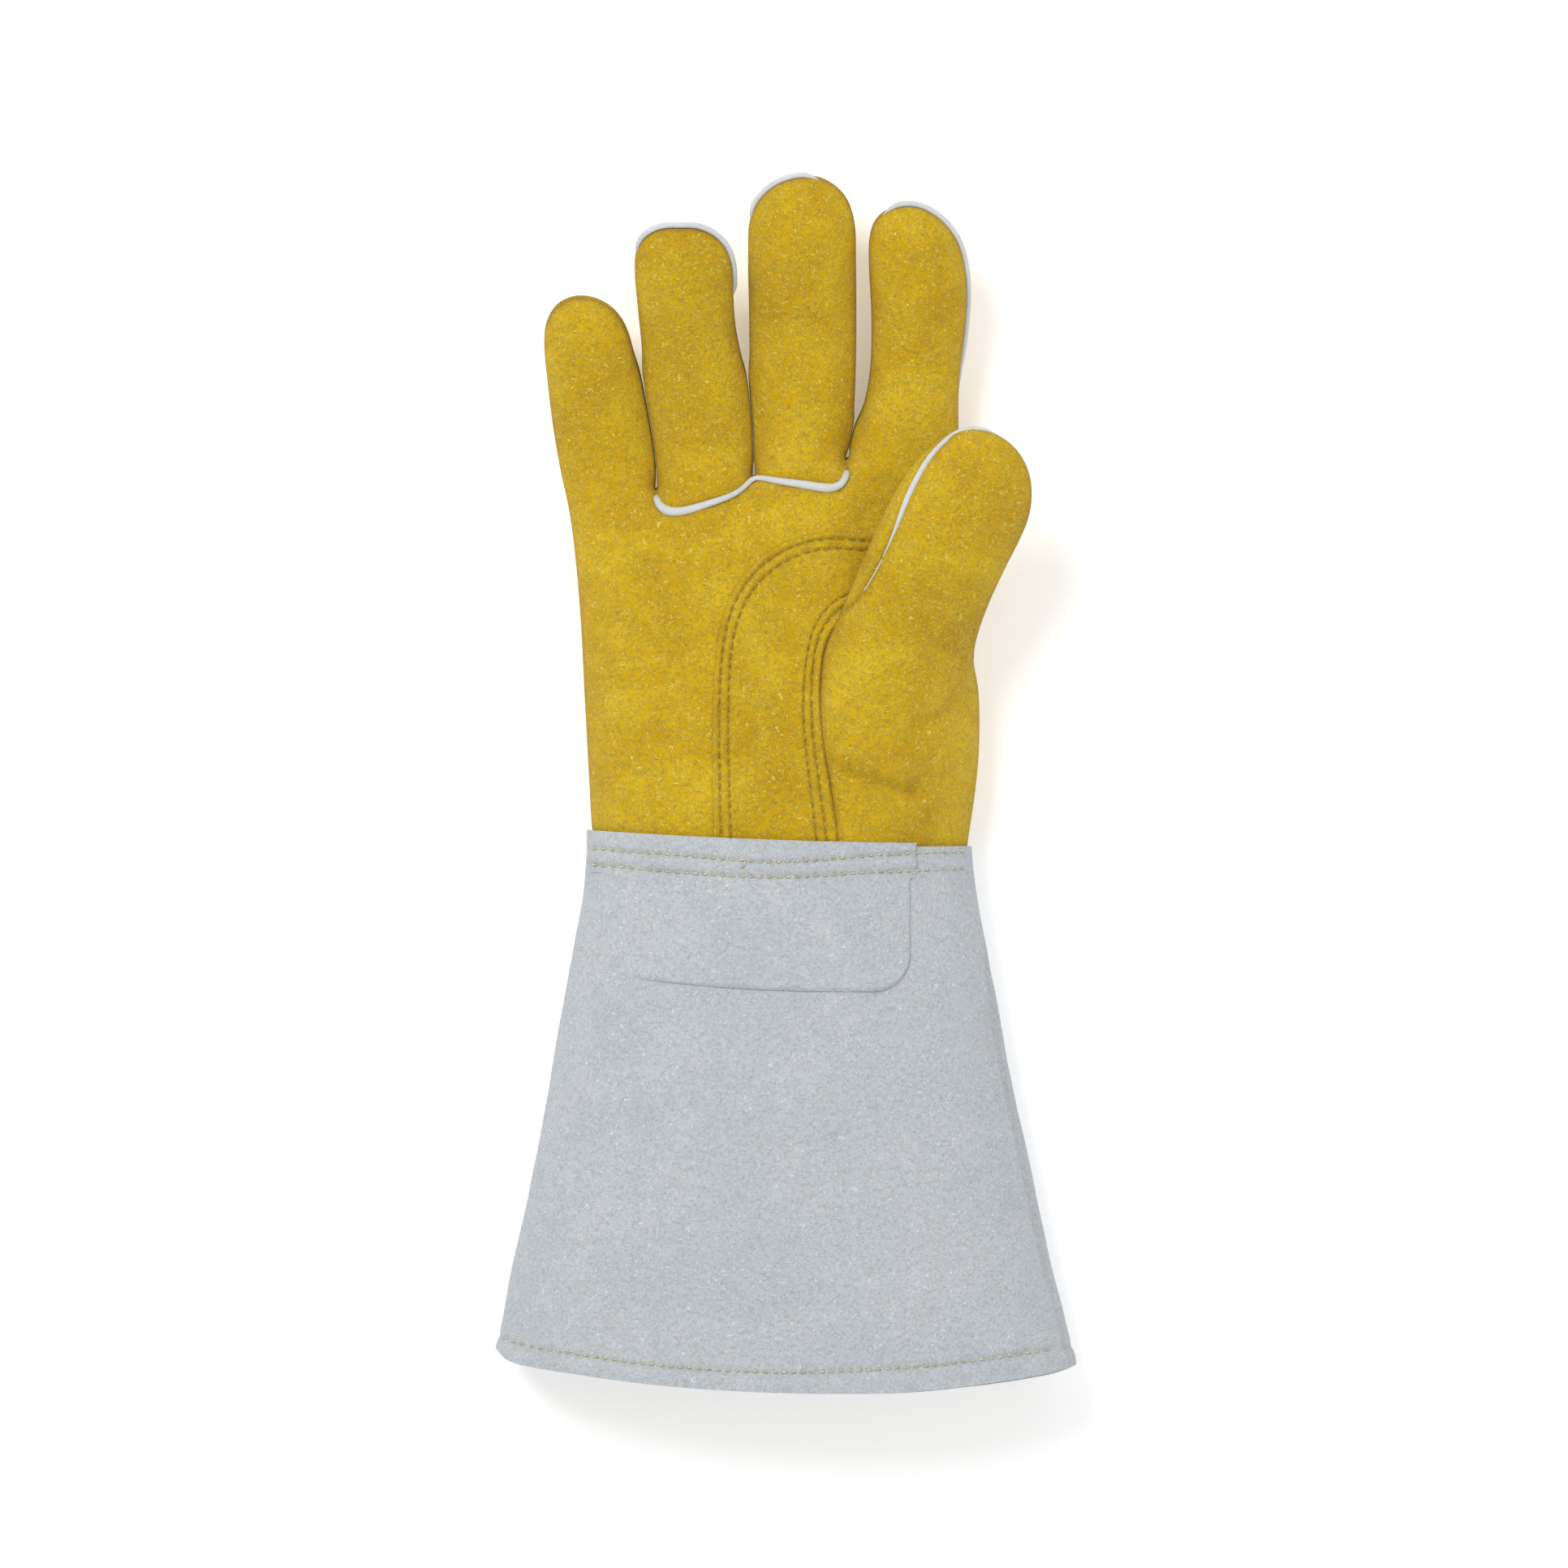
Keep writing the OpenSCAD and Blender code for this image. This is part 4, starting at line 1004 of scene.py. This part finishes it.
hit, nrm = cover(palm_tree, base_path, 1.6)
width = np.interp(base_path[:, 0], [-43, -39, -30, -14, -8, 4, 14, 21], [1.1, 1.75, 1.35, 0.9, 1.0, 1.35, 1.6, 1.2])
width = width * taper(len(hit), 2, 3)
low = taper(len(hit), 0, 3)
path = hit + nrm * (0.2 - 0.9 * (1 - low))[:, None]
o = piping("base_seam_piping", "base_seam_welt", [tube(path, width, 12, 0.8, up=nrm)])
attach(o, "hand")


ts = spline(top_seam[::2], 1.1)[::-1]
grow = smooth((ts[:, 1] - 74) / 20)
thumb_up = cover(thumb_tree, ts, 1.2)
tt = (thumb_up[0] - THUMB_O) @ THUMB_D
tp = thumb_up[0] + thumb_up[1] * (-0.55 + 0.45 * grow)[:, None]
rest_edge = TH[th_index(top_seam[0]):]
tr = (rest_edge - THUMB_O) @ THUMB_D


def moved_out(run, off):
    """A run along the thumb's outline, moved outward."""
    p = run.copy()
    p[:, :2] += out_of(run[:, :2], THUMB_EDGE) * off[:, None]
    return p


show_r = smooth((74 - rest_edge[:, 0]) / 10) * smooth((rest_edge[:, 1] - 108) / 6)
a = tt <= THUMB_SPLIT
b = (tr > THUMB_SPLIT) & (rest_edge[:, 1] > 40)
c = (tr <= THUMB_SPLIT) & (rest_edge[:, 1] > 30)
side = tube(moved_out(rest_edge[c], -1.0 + 1.2 * show_r[c]), (0.75 + 0.4 * show_r[c]) * taper(int(c.sum()), 1.5, 2))
thumb_blend(piping("thumb_base_piping", "thumb_base_welt", [tube(tp[a], 0.3 + 0.7 * grow[a]), side]), False)
path = np.vstack([tp[~a], moved_out(rest_edge[b], -1.2 + 1.4 * show_r[b])[2:]])
path = np.stack([calm(path[:, k], 8) for k in range(3)], axis=1)
r = calm(np.concatenate([0.3 + 0.75 * grow[~a], (0.45 + 0.6 * show_r[b])[2:]]), 6)
thumb_blend(piping("thumb_tip_piping", "thumb_tip_welt", [tube(path, r)]), True)


# ---------- palm patch ----------
def grid_faces(rows, cols, wrap=False):
    r, c = np.meshgrid(np.arange(rows - 1), np.arange(cols if wrap else cols - 1), indexing="ij")
    d = (c + 1) % cols
    return np.stack([r * cols + c, r * cols + d, (r + 1) * cols + d, (r + 1) * cols + c], axis=-1).reshape(-1, 4)


outer_edge = spline(lens([(-23.4, -34.5), (-23.6, -20), (-24.0, 0), (-23.9, 27), (-22.3, 48), (-19.2, 60), (-13.2, 70.5),
                          (-2.5, 79.4), (12, 84.2), (30, 83.2), (48, 79)], 43.0), 1.0)
inner_edge = spline(lens([(19.4, -34.5), (18.4, -19), (15.6, 0), (12.9, 19), (12.5, 36), (13.6, 44.5), (16, 50),
                          (20, 54), (26, 56.5), (34, 59), (48, 62)], 43.0), 1.0)
OUT_ROWS, IN_ROWS = (2.75, 6.05), (4.35, 7.8)    # distances of the stitch lines from the patch's two raw edges
ROWS = 170
k = np.linspace(0, 1, ROWS)


def at_share(line, k):
    i = k * (len(line) - 1)
    return np.stack([np.interp(i, np.arange(len(line)), line[:, c]) for c in (0, 1)], axis=1)


E1 = at_share(outer_edge, np.interp(k, [0, 0.40, 0.80, 1], [0, 0.40, 0.84, 1]))
E2 = at_share(inner_edge, k)
wide = np.linalg.norm(E2 - E1, axis=1)
OUT_D = [0, 0.25, 0.6, 1.1, 1.7, 2.2, 2.5, 2.75, 3.0, 3.4, 3.9, 4.4, 4.9, 5.4, 5.8, 6.05, 6.3, 6.8, 7.6, 9, 11, 13.5]
IN_D = [13, 10.5, 9.2, 8.4, 8.0, 7.8, 7.55, 7.1, 6.5, 6.0, 5.5, 5.0, 4.6, 4.35, 4.1, 3.6, 2.9, 2.2, 1.5, 0.9, 0.5, 0.22, 0]


def rib(e, r1, r2):
    """Height of the patch at distance e from its raw edge, with stitch lines at r1 and r2."""
    body = 1.45 * (1 - np.exp(-((e / 0.45) ** 1.6)))
    return (body + 0.55 * np.exp(-(((e - (r1 + r2) / 2) / 0.95) ** 2)) + 0.62 * np.exp(-(((e - r1 * 0.45) / 0.75) ** 2))
            - 0.75 * np.exp(-(((e - r1) / 0.42) ** 2)) - 0.75 * np.exp(-(((e - r2) / 0.42) ** 2)))


cols, high, stitch_shade = [], [], []


def add_rib(distances, a, b, lines, painted_shade):
    """Columns of the patch at those distances from edge a towards edge b, raised beside its stitch lines, with painted
    shade darkening the stitch lines and the raw edge.
    """
    for e in distances:
        cols.append(a + (b - a) * (e / wide)[:, None])
        high.append(np.full(ROWS, rib(e, *lines)))
        stitch_shade.append(np.full(ROWS, sum(much * math.exp(-((e - at) / 0.5) ** 2) for at, much in zip((*lines, 0), (1, 1, painted_shade)))))


add_rib(OUT_D, E1, E2, OUT_ROWS, 0.5)
for q in np.linspace(0, 1, 9)[1:-1]:
    e = 13.5 + (wide - 13 - 13.5) * q
    cols.append(E1 + (E2 - E1) * (e / wide)[:, None])
    high.append(np.full(ROWS, 1.45))
    stitch_shade.append(np.zeros(ROWS))
add_rib(IN_D, E2, E1, IN_ROWS, 0.4)
PX = np.stack(cols, axis=1)
PH = np.stack(high, axis=1)
# PT: painted shade in the stitch grooves and at the raw edges, 0 to 1
PT = np.clip(np.stack(stitch_shade, axis=1), 0, 1)
run_1 = arc(E1)
beat = 0.5 + 0.5 * np.sin(run_1 * 2 * math.pi / 3.5)[:, None]
jog = np.array([[noise.noise(Vector((x / 2.4, y / 2.4, 5.0))) for x, y in row] for row in PX])
# the painted shade is broken up along each row with the stitch pitch and noise
PH = PH + PT * (0.30 * beat + 0.45 * jog) + 0.55 * jog * (PH > 1.5)
PT = PT * np.clip(0.50 - 0.18 * beat - 0.7 * jog, 0, 1)
rag = np.array([noise.noise(Vector((i * 0.9, 0.3, 7.0))) for i in range(ROWS)])
for c in range(3):
    PX[:, c] += ((E1 - E2) / wide[:, None]) * (0.45 * rag * (1 - c / 3))[:, None]
    PX[:, -1 - c] += ((E2 - E1) / wide[:, None]) * (0.45 * rag[::-1] * (1 - c / 3))[:, None]
flatp = PX.reshape(-1, 2)
hit, nrm = on_surface(palm_tree, flatp)
pt = hit + nrm * (PH.reshape(-1) - 0.35 + 0.10 * wave(flatp, 2.2, 1.0))[:, None]
gf = grid_faces(ROWS, PX.shape[1])
if np.cross(pt[gf[0, 1]] - pt[gf[0, 0]], pt[gf[0, 2]] - pt[gf[0, 0]])[2] < 0:
    gf = gf[:, ::-1]
# seam: painted shade of the stitch grooves and raw edges
patch = sheet("palm_patch_leather", ["palm_patch"], (0.062, 0.150), pt, normals(pt, halves(gf)), gf, PATCH, "yellow_suede",
              thick=0.9, seam=0.6 * PT.reshape(-1))
wrist(patch)
patch_tree = tree_of(pt, gf)


def stitches(line, tree, pitch, length, r, lift, arch=0.3, wobble=0.12, phase=0.0):
    """Small thread loops, each going down into the leather at both ends."""
    run = arc(line[:, :2])
    bits = []
    count = int((run[-1] - phase) / pitch)
    for i in range(count):
        a = phase + i * pitch + 0.5 * (pitch - length)
        at = np.linspace(a, a + length, 5)
        xy = np.stack([np.interp(at, run, line[:, 0]), np.interp(at, run, line[:, 1])], axis=1)
        side = wobble * noise.noise(Vector((i * 0.77, phase, pitch)))
        d = xy[-1] - xy[0]
        d /= max(np.linalg.norm(d), 1e-9)
        xy = xy + np.outer(np.linspace(-1, 1, 5) * side, [-d[1], d[0]])
        h, n = on_surface(tree, xy)
        up = lift + arch * np.array([-1.0, 0.6, 1.0, 0.6, -1.0])
        bits.append(tube(h + n * up[:, None], np.array([0.7, 1, 1.05, 1, 0.7]) * r, 6, up=n))
    return bits


def thread(name, node_name, bits, mat, slot_name):
    o = cords(name, bits, mat, slot_name)
    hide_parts(node_name)
    wrist(o)


for side, a, b, lines, part in (("outer", E1, E2, OUT_ROWS, 0.93), ("inner", E2, E1, IN_ROWS, 0.9)):
    last = int(part * (ROWS - 1)) + 1
    bits = []
    for e, phase in zip(lines, (0.0, 1.2)):
        bits += stitches((a + (b - a) * (e / wide)[:, None])[:last], patch_tree, 3.5, 2.5, 0.36, 0.05, phase=phase)
    thread(f"patch_{side}_thread", f"patch_{side}_stitch", bits, GOLD, "yellow_suede")


# ---------- cuff ----------
Y_L = [-200, -189, -167, -120, -73, -46, -36, -15.5, 0]
X_L = [-98.2, -96.3, -91.9, -82.0, -73.6, -68.4, -66.9, -65.5, -65.2]
Y_R = [-200, -188, -155, -113, -70, -36, -20, 0]
X_R = [98.6, 96.2, 87.9, 79.0, 70.6, 64.2, 62.6, 62.4]
TOP_X, TOP_Y = [-66, -30, 0, 30, 44, 63], [-16.6, -18.8, -20.0, -20.6, -20.8, -20.6]
HEM_X = [-99, -96.3, -93, -89, -84, -68.9, -39.2, -1.4, 39.2, 60, 79.7, 91, 95, 99]
HEM_Y = [-186.5, -188.2, -191.0, -192.8, -193.9, -196.3, -200.2, -202.6, -202.5, -200.6, -197.8, -195.6, -194.2, -192]


def curve(xs, ys):
    """A smooth function through the given values."""
    line = spline(np.column_stack([xs, ys]), 0.5)
    return lambda x: np.interp(x, line[:, 0], line[:, 1])


left_x, right_x = curve(Y_L, X_L), curve(Y_R, X_R)
top_y, hem_y = curve(TOP_X, TOP_Y), curve(HEM_X, HEM_Y)


def section(c, y, up):
    """A point of the cuff's outer skin: share c across its width from -1 to 1 at height y, on the front or the back."""
    s = np.clip((-15 - y) / 189, -0.1, 1.05)
    lo, hi = left_x(y), right_x(y)
    w, m = (hi - lo) / 2, (hi + lo) / 2
    ln = LEN + 4.4 * s
    u = 2 * ln**2 * (1 - np.cosh(c * w / ln) / np.cosh(w / ln))
    h = 1.06 * np.sqrt(np.maximum(u, 0))
    z = AXIS_Z + 6 * s
    b = 16.3 + 6.3 * s
    back = h / (1 + (h / b) ** 6) ** (1 / 6)
    return np.stack([m + c * w, y, z + (h if up else -back)], axis=-1)


n_f, n_b, rows = 84, 64, 112
inset = 3.6
cs = np.sin(np.linspace(0, 1, n_f) * math.pi / 2 * 2 - math.pi / 2)
front_c = cs[::-1]
back_c = np.sin(np.linspace(-1, 1, n_b) * math.pi / 2)[1:]
tuck_c = 1 - np.array([0.0015, 0.006, 0.014, 0.027, 0.045, 0.066, 0.09, 0.115])
r = np.linspace(0, 1, rows)
# every column runs from the top edge to the hem
def column(c, up):
    x_top = 63 * c if c > 0 else 66 * c
    yt = top_y(np.clip(x_top, -66, 63))
    x_hem = 97 * c
    yh = hem_y(x_hem)
    zt, zh = section(np.array(c), np.array(yt), up)[2], section(np.array(c), np.array(max(yh, -204.0)), up)[2]
    yt = yt * (EYE - zt) / (EYE - FLAT)
    yh = yh * (EYE - zh) / (EYE - FLAT)
    y = yt + (yh - yt) * r
    return section(np.full(rows, c), y, up)


skin = [column(float(c), up) for run, up in ((front_c, True), (back_c, False), (tuck_c, True)) for c in run]
SK = np.stack(skin, axis=1)                    # rows x columns x 3
y_all = SK[..., 1]
# the front layer's cut edge stands a little in from the side, more towards the hem
pull = inset * smooth((-38 - y_all[:, 0]) / 40)
half_w = (right_x(y_all[:, 0]) - left_x(y_all[:, 0])) / 2
c_end = 1 - np.maximum(pull, 0.02) / half_w
fc = -1 + (front_c[None, :] + 1) * ((c_end + 1) / 2)[:, None]
SK[:, :n_f] = section(fc, y_all[:, :n_f], True)
def wave3(p, sizes, seed):
    return np.array([noise.noise(Vector((x / sizes[0], y / sizes[1], z / sizes[2] + seed))) for x, y, z in p])


def facing_out(p, faces):
    """The faces turned away from the cuff's middle line, and their normals."""
    n = normals(p, halves(faces))
    inner = np.column_stack([np.zeros(len(p)), p[:, 1], AXIS_Z + 6 * np.clip((-15 - p[:, 1]) / 189, 0, 1)])
    return (faces[:, ::-1], -n) if ((p - inner) * n).sum() < 0 else (faces, n)


flat_sk = SK.reshape(-1, 3)
cf, cn = facing_out(flat_sk, grid_faces(rows, SK.shape[1]))
cn = cn.reshape(SK.shape)
tuck = np.zeros(SK.shape[:2])
n_tuck = len(tuck_c)
tuck[:, -n_tuck:] = -2.3 * smooth(np.arange(1, n_tuck + 1) / 3.0)[None, :]
ripple = (0.55 * wave3(flat_sk, (30, 34, 30), 4.0) + 0.22 * wave3(flat_sk, (11, 12, 11), 9.0)).reshape(tuck.shape)
ripple *= smooth((-30 - y_all) / 25)
row_hem = curve([-99, -94.5, -88, -68.9, -39.2, -1.4, 39.2, 79.7, 91.8, 99],
                [-181.0, -183.5, -186.0, -189.5, -193.5, -195.6, -194.3, -189.5, -187.5, -186])
row_up = curve([-68, -64, -28.4, -1.4, 32.4, 58, 64], [-20.9, -21.2, -24.2, -25.8, -23.6, -22.3, -22.4])
row_low = curve([-68, -64.8, -28.4, -1.4, 32.4, 59.4, 66], [-26.4, -26.6, -29.8, -30.9, -29.3, -28.0, -27.9])


def seen(p):
    """Where a point of the cuff stands in the outline numbers."""
    k = (EYE - FLAT) / (EYE - p[..., 2])
    return p[..., 0] * k, p[..., 1] * k


sx, sy = seen(SK)
hem_line = -0.42 * np.exp(-(((sy - row_hem(sx)) / 1.0) ** 2)) + 0.30 * np.exp(-(((sy - row_hem(sx) + 3.6) / 2.6) ** 2))
SK = SK + cn * (tuck + ripple + hem_line)[..., None]
flat_sk = SK.reshape(-1, 3)
# painted shade in the hem stitch groove
cuff_hem_shade = np.clip(np.exp(-(((sy - row_hem(sx)) / 0.8) ** 2)) * 0.35, 0, 1).reshape(-1)
cuff = sheet("cuff_leather_sheet", ["cuff_leather"], (0.450, 0.200), flat_sk, normals(flat_sk, halves(cf)), cf, GREY,
             "grey_suede", thick=1.35, seam=cuff_hem_shade)
wrist(cuff)
cuff_tree = tree_of(flat_sk, cf)

# lining inside the cuff: a closed sleeve under the leather, a little short of the hem
lc = np.concatenate([front_c, back_c[:-1]])
keep_rows = int(rows * 0.965)
sleeve = np.stack([column(float(c), i < n_f) for i, c in enumerate(lc)], axis=1)[:keep_rows]
fl = sleeve.reshape(-1, 3)
lf, ln_ = facing_out(fl, grid_faces(keep_rows, sleeve.shape[1], wrap=True))
# it stands further in beside the lapped seam, where the leather is two layers deep
by_lap = smooth((fl[:, 0] - right_x(fl[:, 1]) + 26) / 9) * smooth((-31 - fl[:, 1]) / 6)
inward = 0.35 * wave3(fl, (16, 18, 14), 2.0) - 3.35 - 1.9 * by_lap
wrist(sheet("cuff_lining_cloth", ["cuff_lining"], (0.440, 0.190), fl + ln_ * inward[:, None], ln_, lf, COTTON, "cotton_lining", 0.8))
# cord in the side seam, between the two layers
edge_top = SK[:, 0] - cn[:, 0] * 1.15
side_n = cn[:, 0]
path = edge_top + (0.15, 0, 0)
thread("cuff_side_piping", "cuff_side_welt", [tube(path[1:-2], 0.42, 8, up=side_n[1:-2])], GREY, "grey_suede")


# ---------- band over the wrist and its flap ----------
def on_cuff(xp, yp):
    """The cuff's front skin where outline numbers (xp, yp) are seen, and its normal."""
    z = np.full(np.shape(xp), 45.0)
    for _ in range(3):
        k = (EYE - z) / (EYE - FLAT)
        x, y = xp * k, yp * k
        s_lo, s_hi = left_x(y), right_x(y)
        c = np.clip((x - (s_lo + s_hi) / 2) / ((s_hi - s_lo) / 2), -0.9995, 0.9995)
        p = section(c, y, True)
        z = p[..., 2]
    d = 1e-3
    px = section(np.clip(c + d, -0.99999, 0.99999), y, True) - section(c - d, y, True)
    py = section(c, y + 0.5, True) - section(c, y - 0.5, True)
    n = np.cross(px, py)
    n /= np.maximum(np.linalg.norm(n, axis=-1), 1e-9)[..., None]
    return p, n


def split_y(x):
    return row_low(x) - 2.6


ex = np.concatenate([-65.35 + np.array([0, 0.12, 0.4, 0.9, 1.7, 3.0, 4.8]), np.linspace(-58.5, 41.5, 66), [42.6, 43.3, 43.65, 43.85]])
band_top = curve([-67, -65.3, -40, 0, 30, 43.9], [-14.9, -15.2, -16.9, -18.7, -19.4, -19.6])
nr = 22
rr = np.array([0, 0.015, 0.04, 0.08] + list(np.linspace(0.13, 1, nr - 4)))
bx = np.tile(ex, (nr, 1))
by = band_top(bx) + (split_y(bx) - band_top(bx)) * rr[:, None]
bp, bn = on_cuff(bx, by)
edge_in = np.minimum(smooth(rr / 0.06)[:, None], smooth((43.9 - bx) / 0.9))
prof = 1.15 * (0.45 + 0.55 * edge_in)
for row in (row_up(bx), row_low(bx)):
    prof = prof - 0.40 * np.exp(-(((by - row) / 0.75) ** 2))
prof = prof + 0.35 * np.exp(-(((by - (row_up(bx) + row_low(bx)) / 2) / 1.5) ** 2))
lone = np.clip(smooth((-58.5 - bx) / 2.5) + smooth((bx - 41.4) / 1.0), 0, 1) * smooth((rr - 0.72) / 0.25)[:, None]
prof = prof * (1 - 0.8 * lone) * (0.25 + 0.75 * smooth((bx + 65.4) / 3.0))
prof += 0.22 * wave(np.column_stack([bx.ravel(), by.ravel()]), 3.2, 3.0).reshape(bx.shape) * smooth(rr / 0.1)[:, None] * (rr < 0.97)[:, None]
bq = bp + bn * (0.08 + prof)[..., None]
bf = grid_faces(nr, len(ex))
fq = bq.reshape(-1, 3)


def facing_up(f, p):
    a, b, c = p[f[len(f) // 2, :3]]
    return f if np.cross(b - a, c - a)[2] > 0 else f[:, ::-1]


bf = facing_up(bf, fq)
# the flap carries on from the band, so both share one run of surface for their shading
fx = np.concatenate([[-60.4, -60.2, -59.7], np.linspace(-59, 28, 50), 29.5 + 12.2 * np.sin(np.linspace(0.06, 1, 16) * math.pi / 2)])
flap_line = curve([-61, -53, -34, -15, 5, 26, 43], [-62.8, -64.2, -66.4, -68.0, -68.8, -69.0, -69.0])
fr = np.concatenate([np.linspace(0, 0.93, 24), [0.955, 0.975, 0.988, 0.996, 1.0]])
fxx = np.tile(fx, (len(fr), 1))
bend_r = 12.2 - np.sqrt(np.maximum(12.2**2 - np.maximum(fxx - 29.5, 0) ** 2, 0))
bend_l = 7 - np.sqrt(np.maximum(49 - np.maximum(-53.4 - fxx, 0) ** 2, 0))
fyy = split_y(fxx) + (flap_line(fxx) + bend_r + bend_l - split_y(fxx)) * fr[:, None]
fp, fn = on_cuff(fxx, fyy)
down = smooth((split_y(fxx) - fyy) / 6)
near_end = np.minimum(np.minimum((41.75 - fxx) / 0.9, (fxx + 60.5) / 0.7), (flap_line(fxx) + bend_r + bend_l - fyy) / -0.9)
roll = 0.5 + 0.5 * smooth(np.clip(near_end, 0, 1))
stand = ((1.15 + 0.25 * down * smooth((fxx + 50) / 26)) * (0.22 + 0.78 * smooth((fxx + 61) / 20))
         * (1 - 0.35 * down * smooth((fxx - 30) / 8)) * roll)
stand += 0.18 * wave(np.column_stack([fxx.ravel(), fyy.ravel()]), 12, 6.0).reshape(fxx.shape) * down
stand += 0.12 * wave(np.column_stack([fxx.ravel(), fyy.ravel()]), 2.6, 8.0).reshape(fxx.shape)
fpos = fp + fn * stand[..., None]
top_stand = np.array([np.interp(x, ex, (0.08 + prof)[-1]) for x in fx])
fpos[0] = fp[0] + fn[0] * top_stand[:, None]
ff = grid_faces(len(fr), len(fx))
fflat = fpos.reshape(-1, 3)
ff = facing_up(ff, fflat)
band_n, flap_n = normals(fq, halves(bf)), normals(fflat, halves(ff))
flap_n.reshape(len(fr), len(fx), 3)[0] = on_cuff(fx, split_y(fx))[1]
band_n.reshape(nr, len(ex), 3)[-1] = on_cuff(ex, split_y(ex))[1]
# painted shade in the band's two stitch grooves
band_row_shade = np.clip(0.4 * np.exp(-(((by - row_up(bx)) / 0.7) ** 2)) + 0.4 * np.exp(-(((by - row_low(bx)) / 0.7) ** 2)), 0, 1)
band = slab("cuff_band_leather", fq, band_n, bf, GREY, "grey_suede", thick=0.95, seam=band_row_shade.reshape(-1))
wrist(band)
flap = sheet("wrist_flap_leather", ["wrist_flap"], (0.115, 0.042), fflat, flap_n, ff, GREY, "grey_suede", thick=0.95)
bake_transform(flap)
band_tree = tree_of(np.vstack([fq, flat_sk]), np.vstack([bf, cf + len(fq)]))


def true_row(fun, x):
    p, _ = on_cuff(x, fun(x))
    return p[:, :2]


def under_side(y_of, pitch, x0, x1):
    """Thread loops on the back of the cuff, which faces down."""
    bits = []
    for x in np.arange(x0, x1, pitch):
        pts = []
        for q in np.linspace(0, 2.0, 4):
            h, n, *_ = cuff_tree.ray_cast(Vector((x + q, y_of(x + q), -50)), Vector((0, 0, 1)))
            if h is None:
                break
            pts.append((np.array(h), np.array(n)))
        if len(pts) == 4:
            v = np.array([h for h, _ in pts])
            nn = np.array([n if n[2] < 0 else -n for _, n in pts])
            bits.append(tube(v + nn * np.array([-0.25, 0.12, 0.12, -0.25])[:, None], 0.30, 6, up=nn))
    return bits


x = np.linspace(-64.3, 61.4, 300)
bits = stitches(true_row(row_up, x), band_tree, 3.05, 1.9, 0.33, 0.22, 0.34, wobble=0.3)
bits += under_side(lambda q: -23.0, 3.05, -56, 54)
thread("cuff_band_thread_upper", "cuff_band_stitch_upper", bits, THREAD, "cream_thread")
x = np.linspace(-65.0, 62.8, 300)
bits = stitches(true_row(row_low, x), band_tree, 3.05, 1.9, 0.33, 0.22, 0.34, wobble=0.3, phase=0.9)
bits += under_side(lambda q: -29.0, 3.05, -56, 54)
a, n = on_cuff(np.array([-12.6, -12.9, -13.5, -14.6]), np.array([-25.6, -26.6, -27.6, -28.2]))
bits.append(tube(a + n * np.array([1.2, 1.9, 2.1, 1.6])[:, None], 0.26, 6))     # a loose end of thread
thread("cuff_band_thread_lower", "cuff_band_stitch_lower", bits, THREAD, "cream_thread")
x = np.linspace(-94.2, 91.5, 420)
bits = stitches(true_row(row_hem, x), cuff_tree, 3.1, 1.9, 0.32, 0.18, 0.32, wobble=0.3)
bits += under_side(lambda q: float(row_hem(q)) + 1.5, 3.1, -84, 82)
thread("cuff_hem_thread", "cuff_hem_stitch", bits, THREAD, "cream_thread")


# ---------- floor, light and camera ----------
def plain(name, colour, rough):
    m = bpy.data.materials.new(name)
    m.use_nodes = True
    b = m.node_tree.nodes["Principled BSDF"]
    nz = node(m.node_tree, "ShaderNodeTexNoise")
    nz.inputs["Scale"].default_value = 3.0
    c = ramp(m.node_tree, nz.outputs[0], [(0.3, tuple(v * 0.995 for v in colour)), (0.7, colour)])
    m.node_tree.links.new(c, b.inputs["Base Color"])
    b.inputs["Roughness"].default_value = rough
    b.inputs["Specular IOR Level"].default_value = 0.1
    b.inputs["Emission Color"].default_value = (1, 1, 1, 1)
    b.inputs["Emission Strength"].default_value = 0.22
    return m


fm = bpy.data.meshes.new("floor")
fm.from_pydata([(-6, -6, -0.0004), (6, -6, -0.0004), (6, 6, -0.0004), (-6, 6, -0.0004)], [], [(0, 1, 2, 3)])
floor = bpy.data.objects.new("floor", fm)
fm.materials.append(plain("pale_floor", (0.98, 0.98, 0.98), 0.9))
bpy.context.scene.collection.objects.link(floor)


def lamp(name, size, power, place, colour=(1, 1, 1)):
    d = bpy.data.lights.new(name, "AREA")
    d.shape = "DISK"
    d.size = size
    d.energy = power
    d.color = colour
    o = bpy.data.objects.new(name, d)
    o.location = place
    o.rotation_euler = (-Vector(place)).to_track_quat("-Z", "Y").to_euler()
    bpy.context.scene.collection.objects.link(o)


lamp("key", 0.9, 23, (-0.75, 0.95, 1.9))
lamp("fill", 1.6, 11, (0.8, -0.3, 2.2))
world = bpy.data.worlds.new("studio")
world.use_nodes = True
bg = world.node_tree.nodes["Background"]
bg.inputs[0].default_value = (1, 1, 1, 1)
bg.inputs[1].default_value = 0.62
bpy.context.scene.world = world
bpy.context.scene.view_settings.view_transform = "Standard"
cam = bpy.data.cameras.new("camera")
cam.sensor_width = 36
cam.lens = 36 * (EYE - FLAT) / 521.64
cam.clip_end = 20
eye = bpy.data.objects.new("camera", cam)
eye.location = (0, 0, EYE * MM)
eye.rotation_euler = (0, 0, 0)
bpy.context.scene.collection.objects.link(eye)
bpy.context.scene.camera = eye
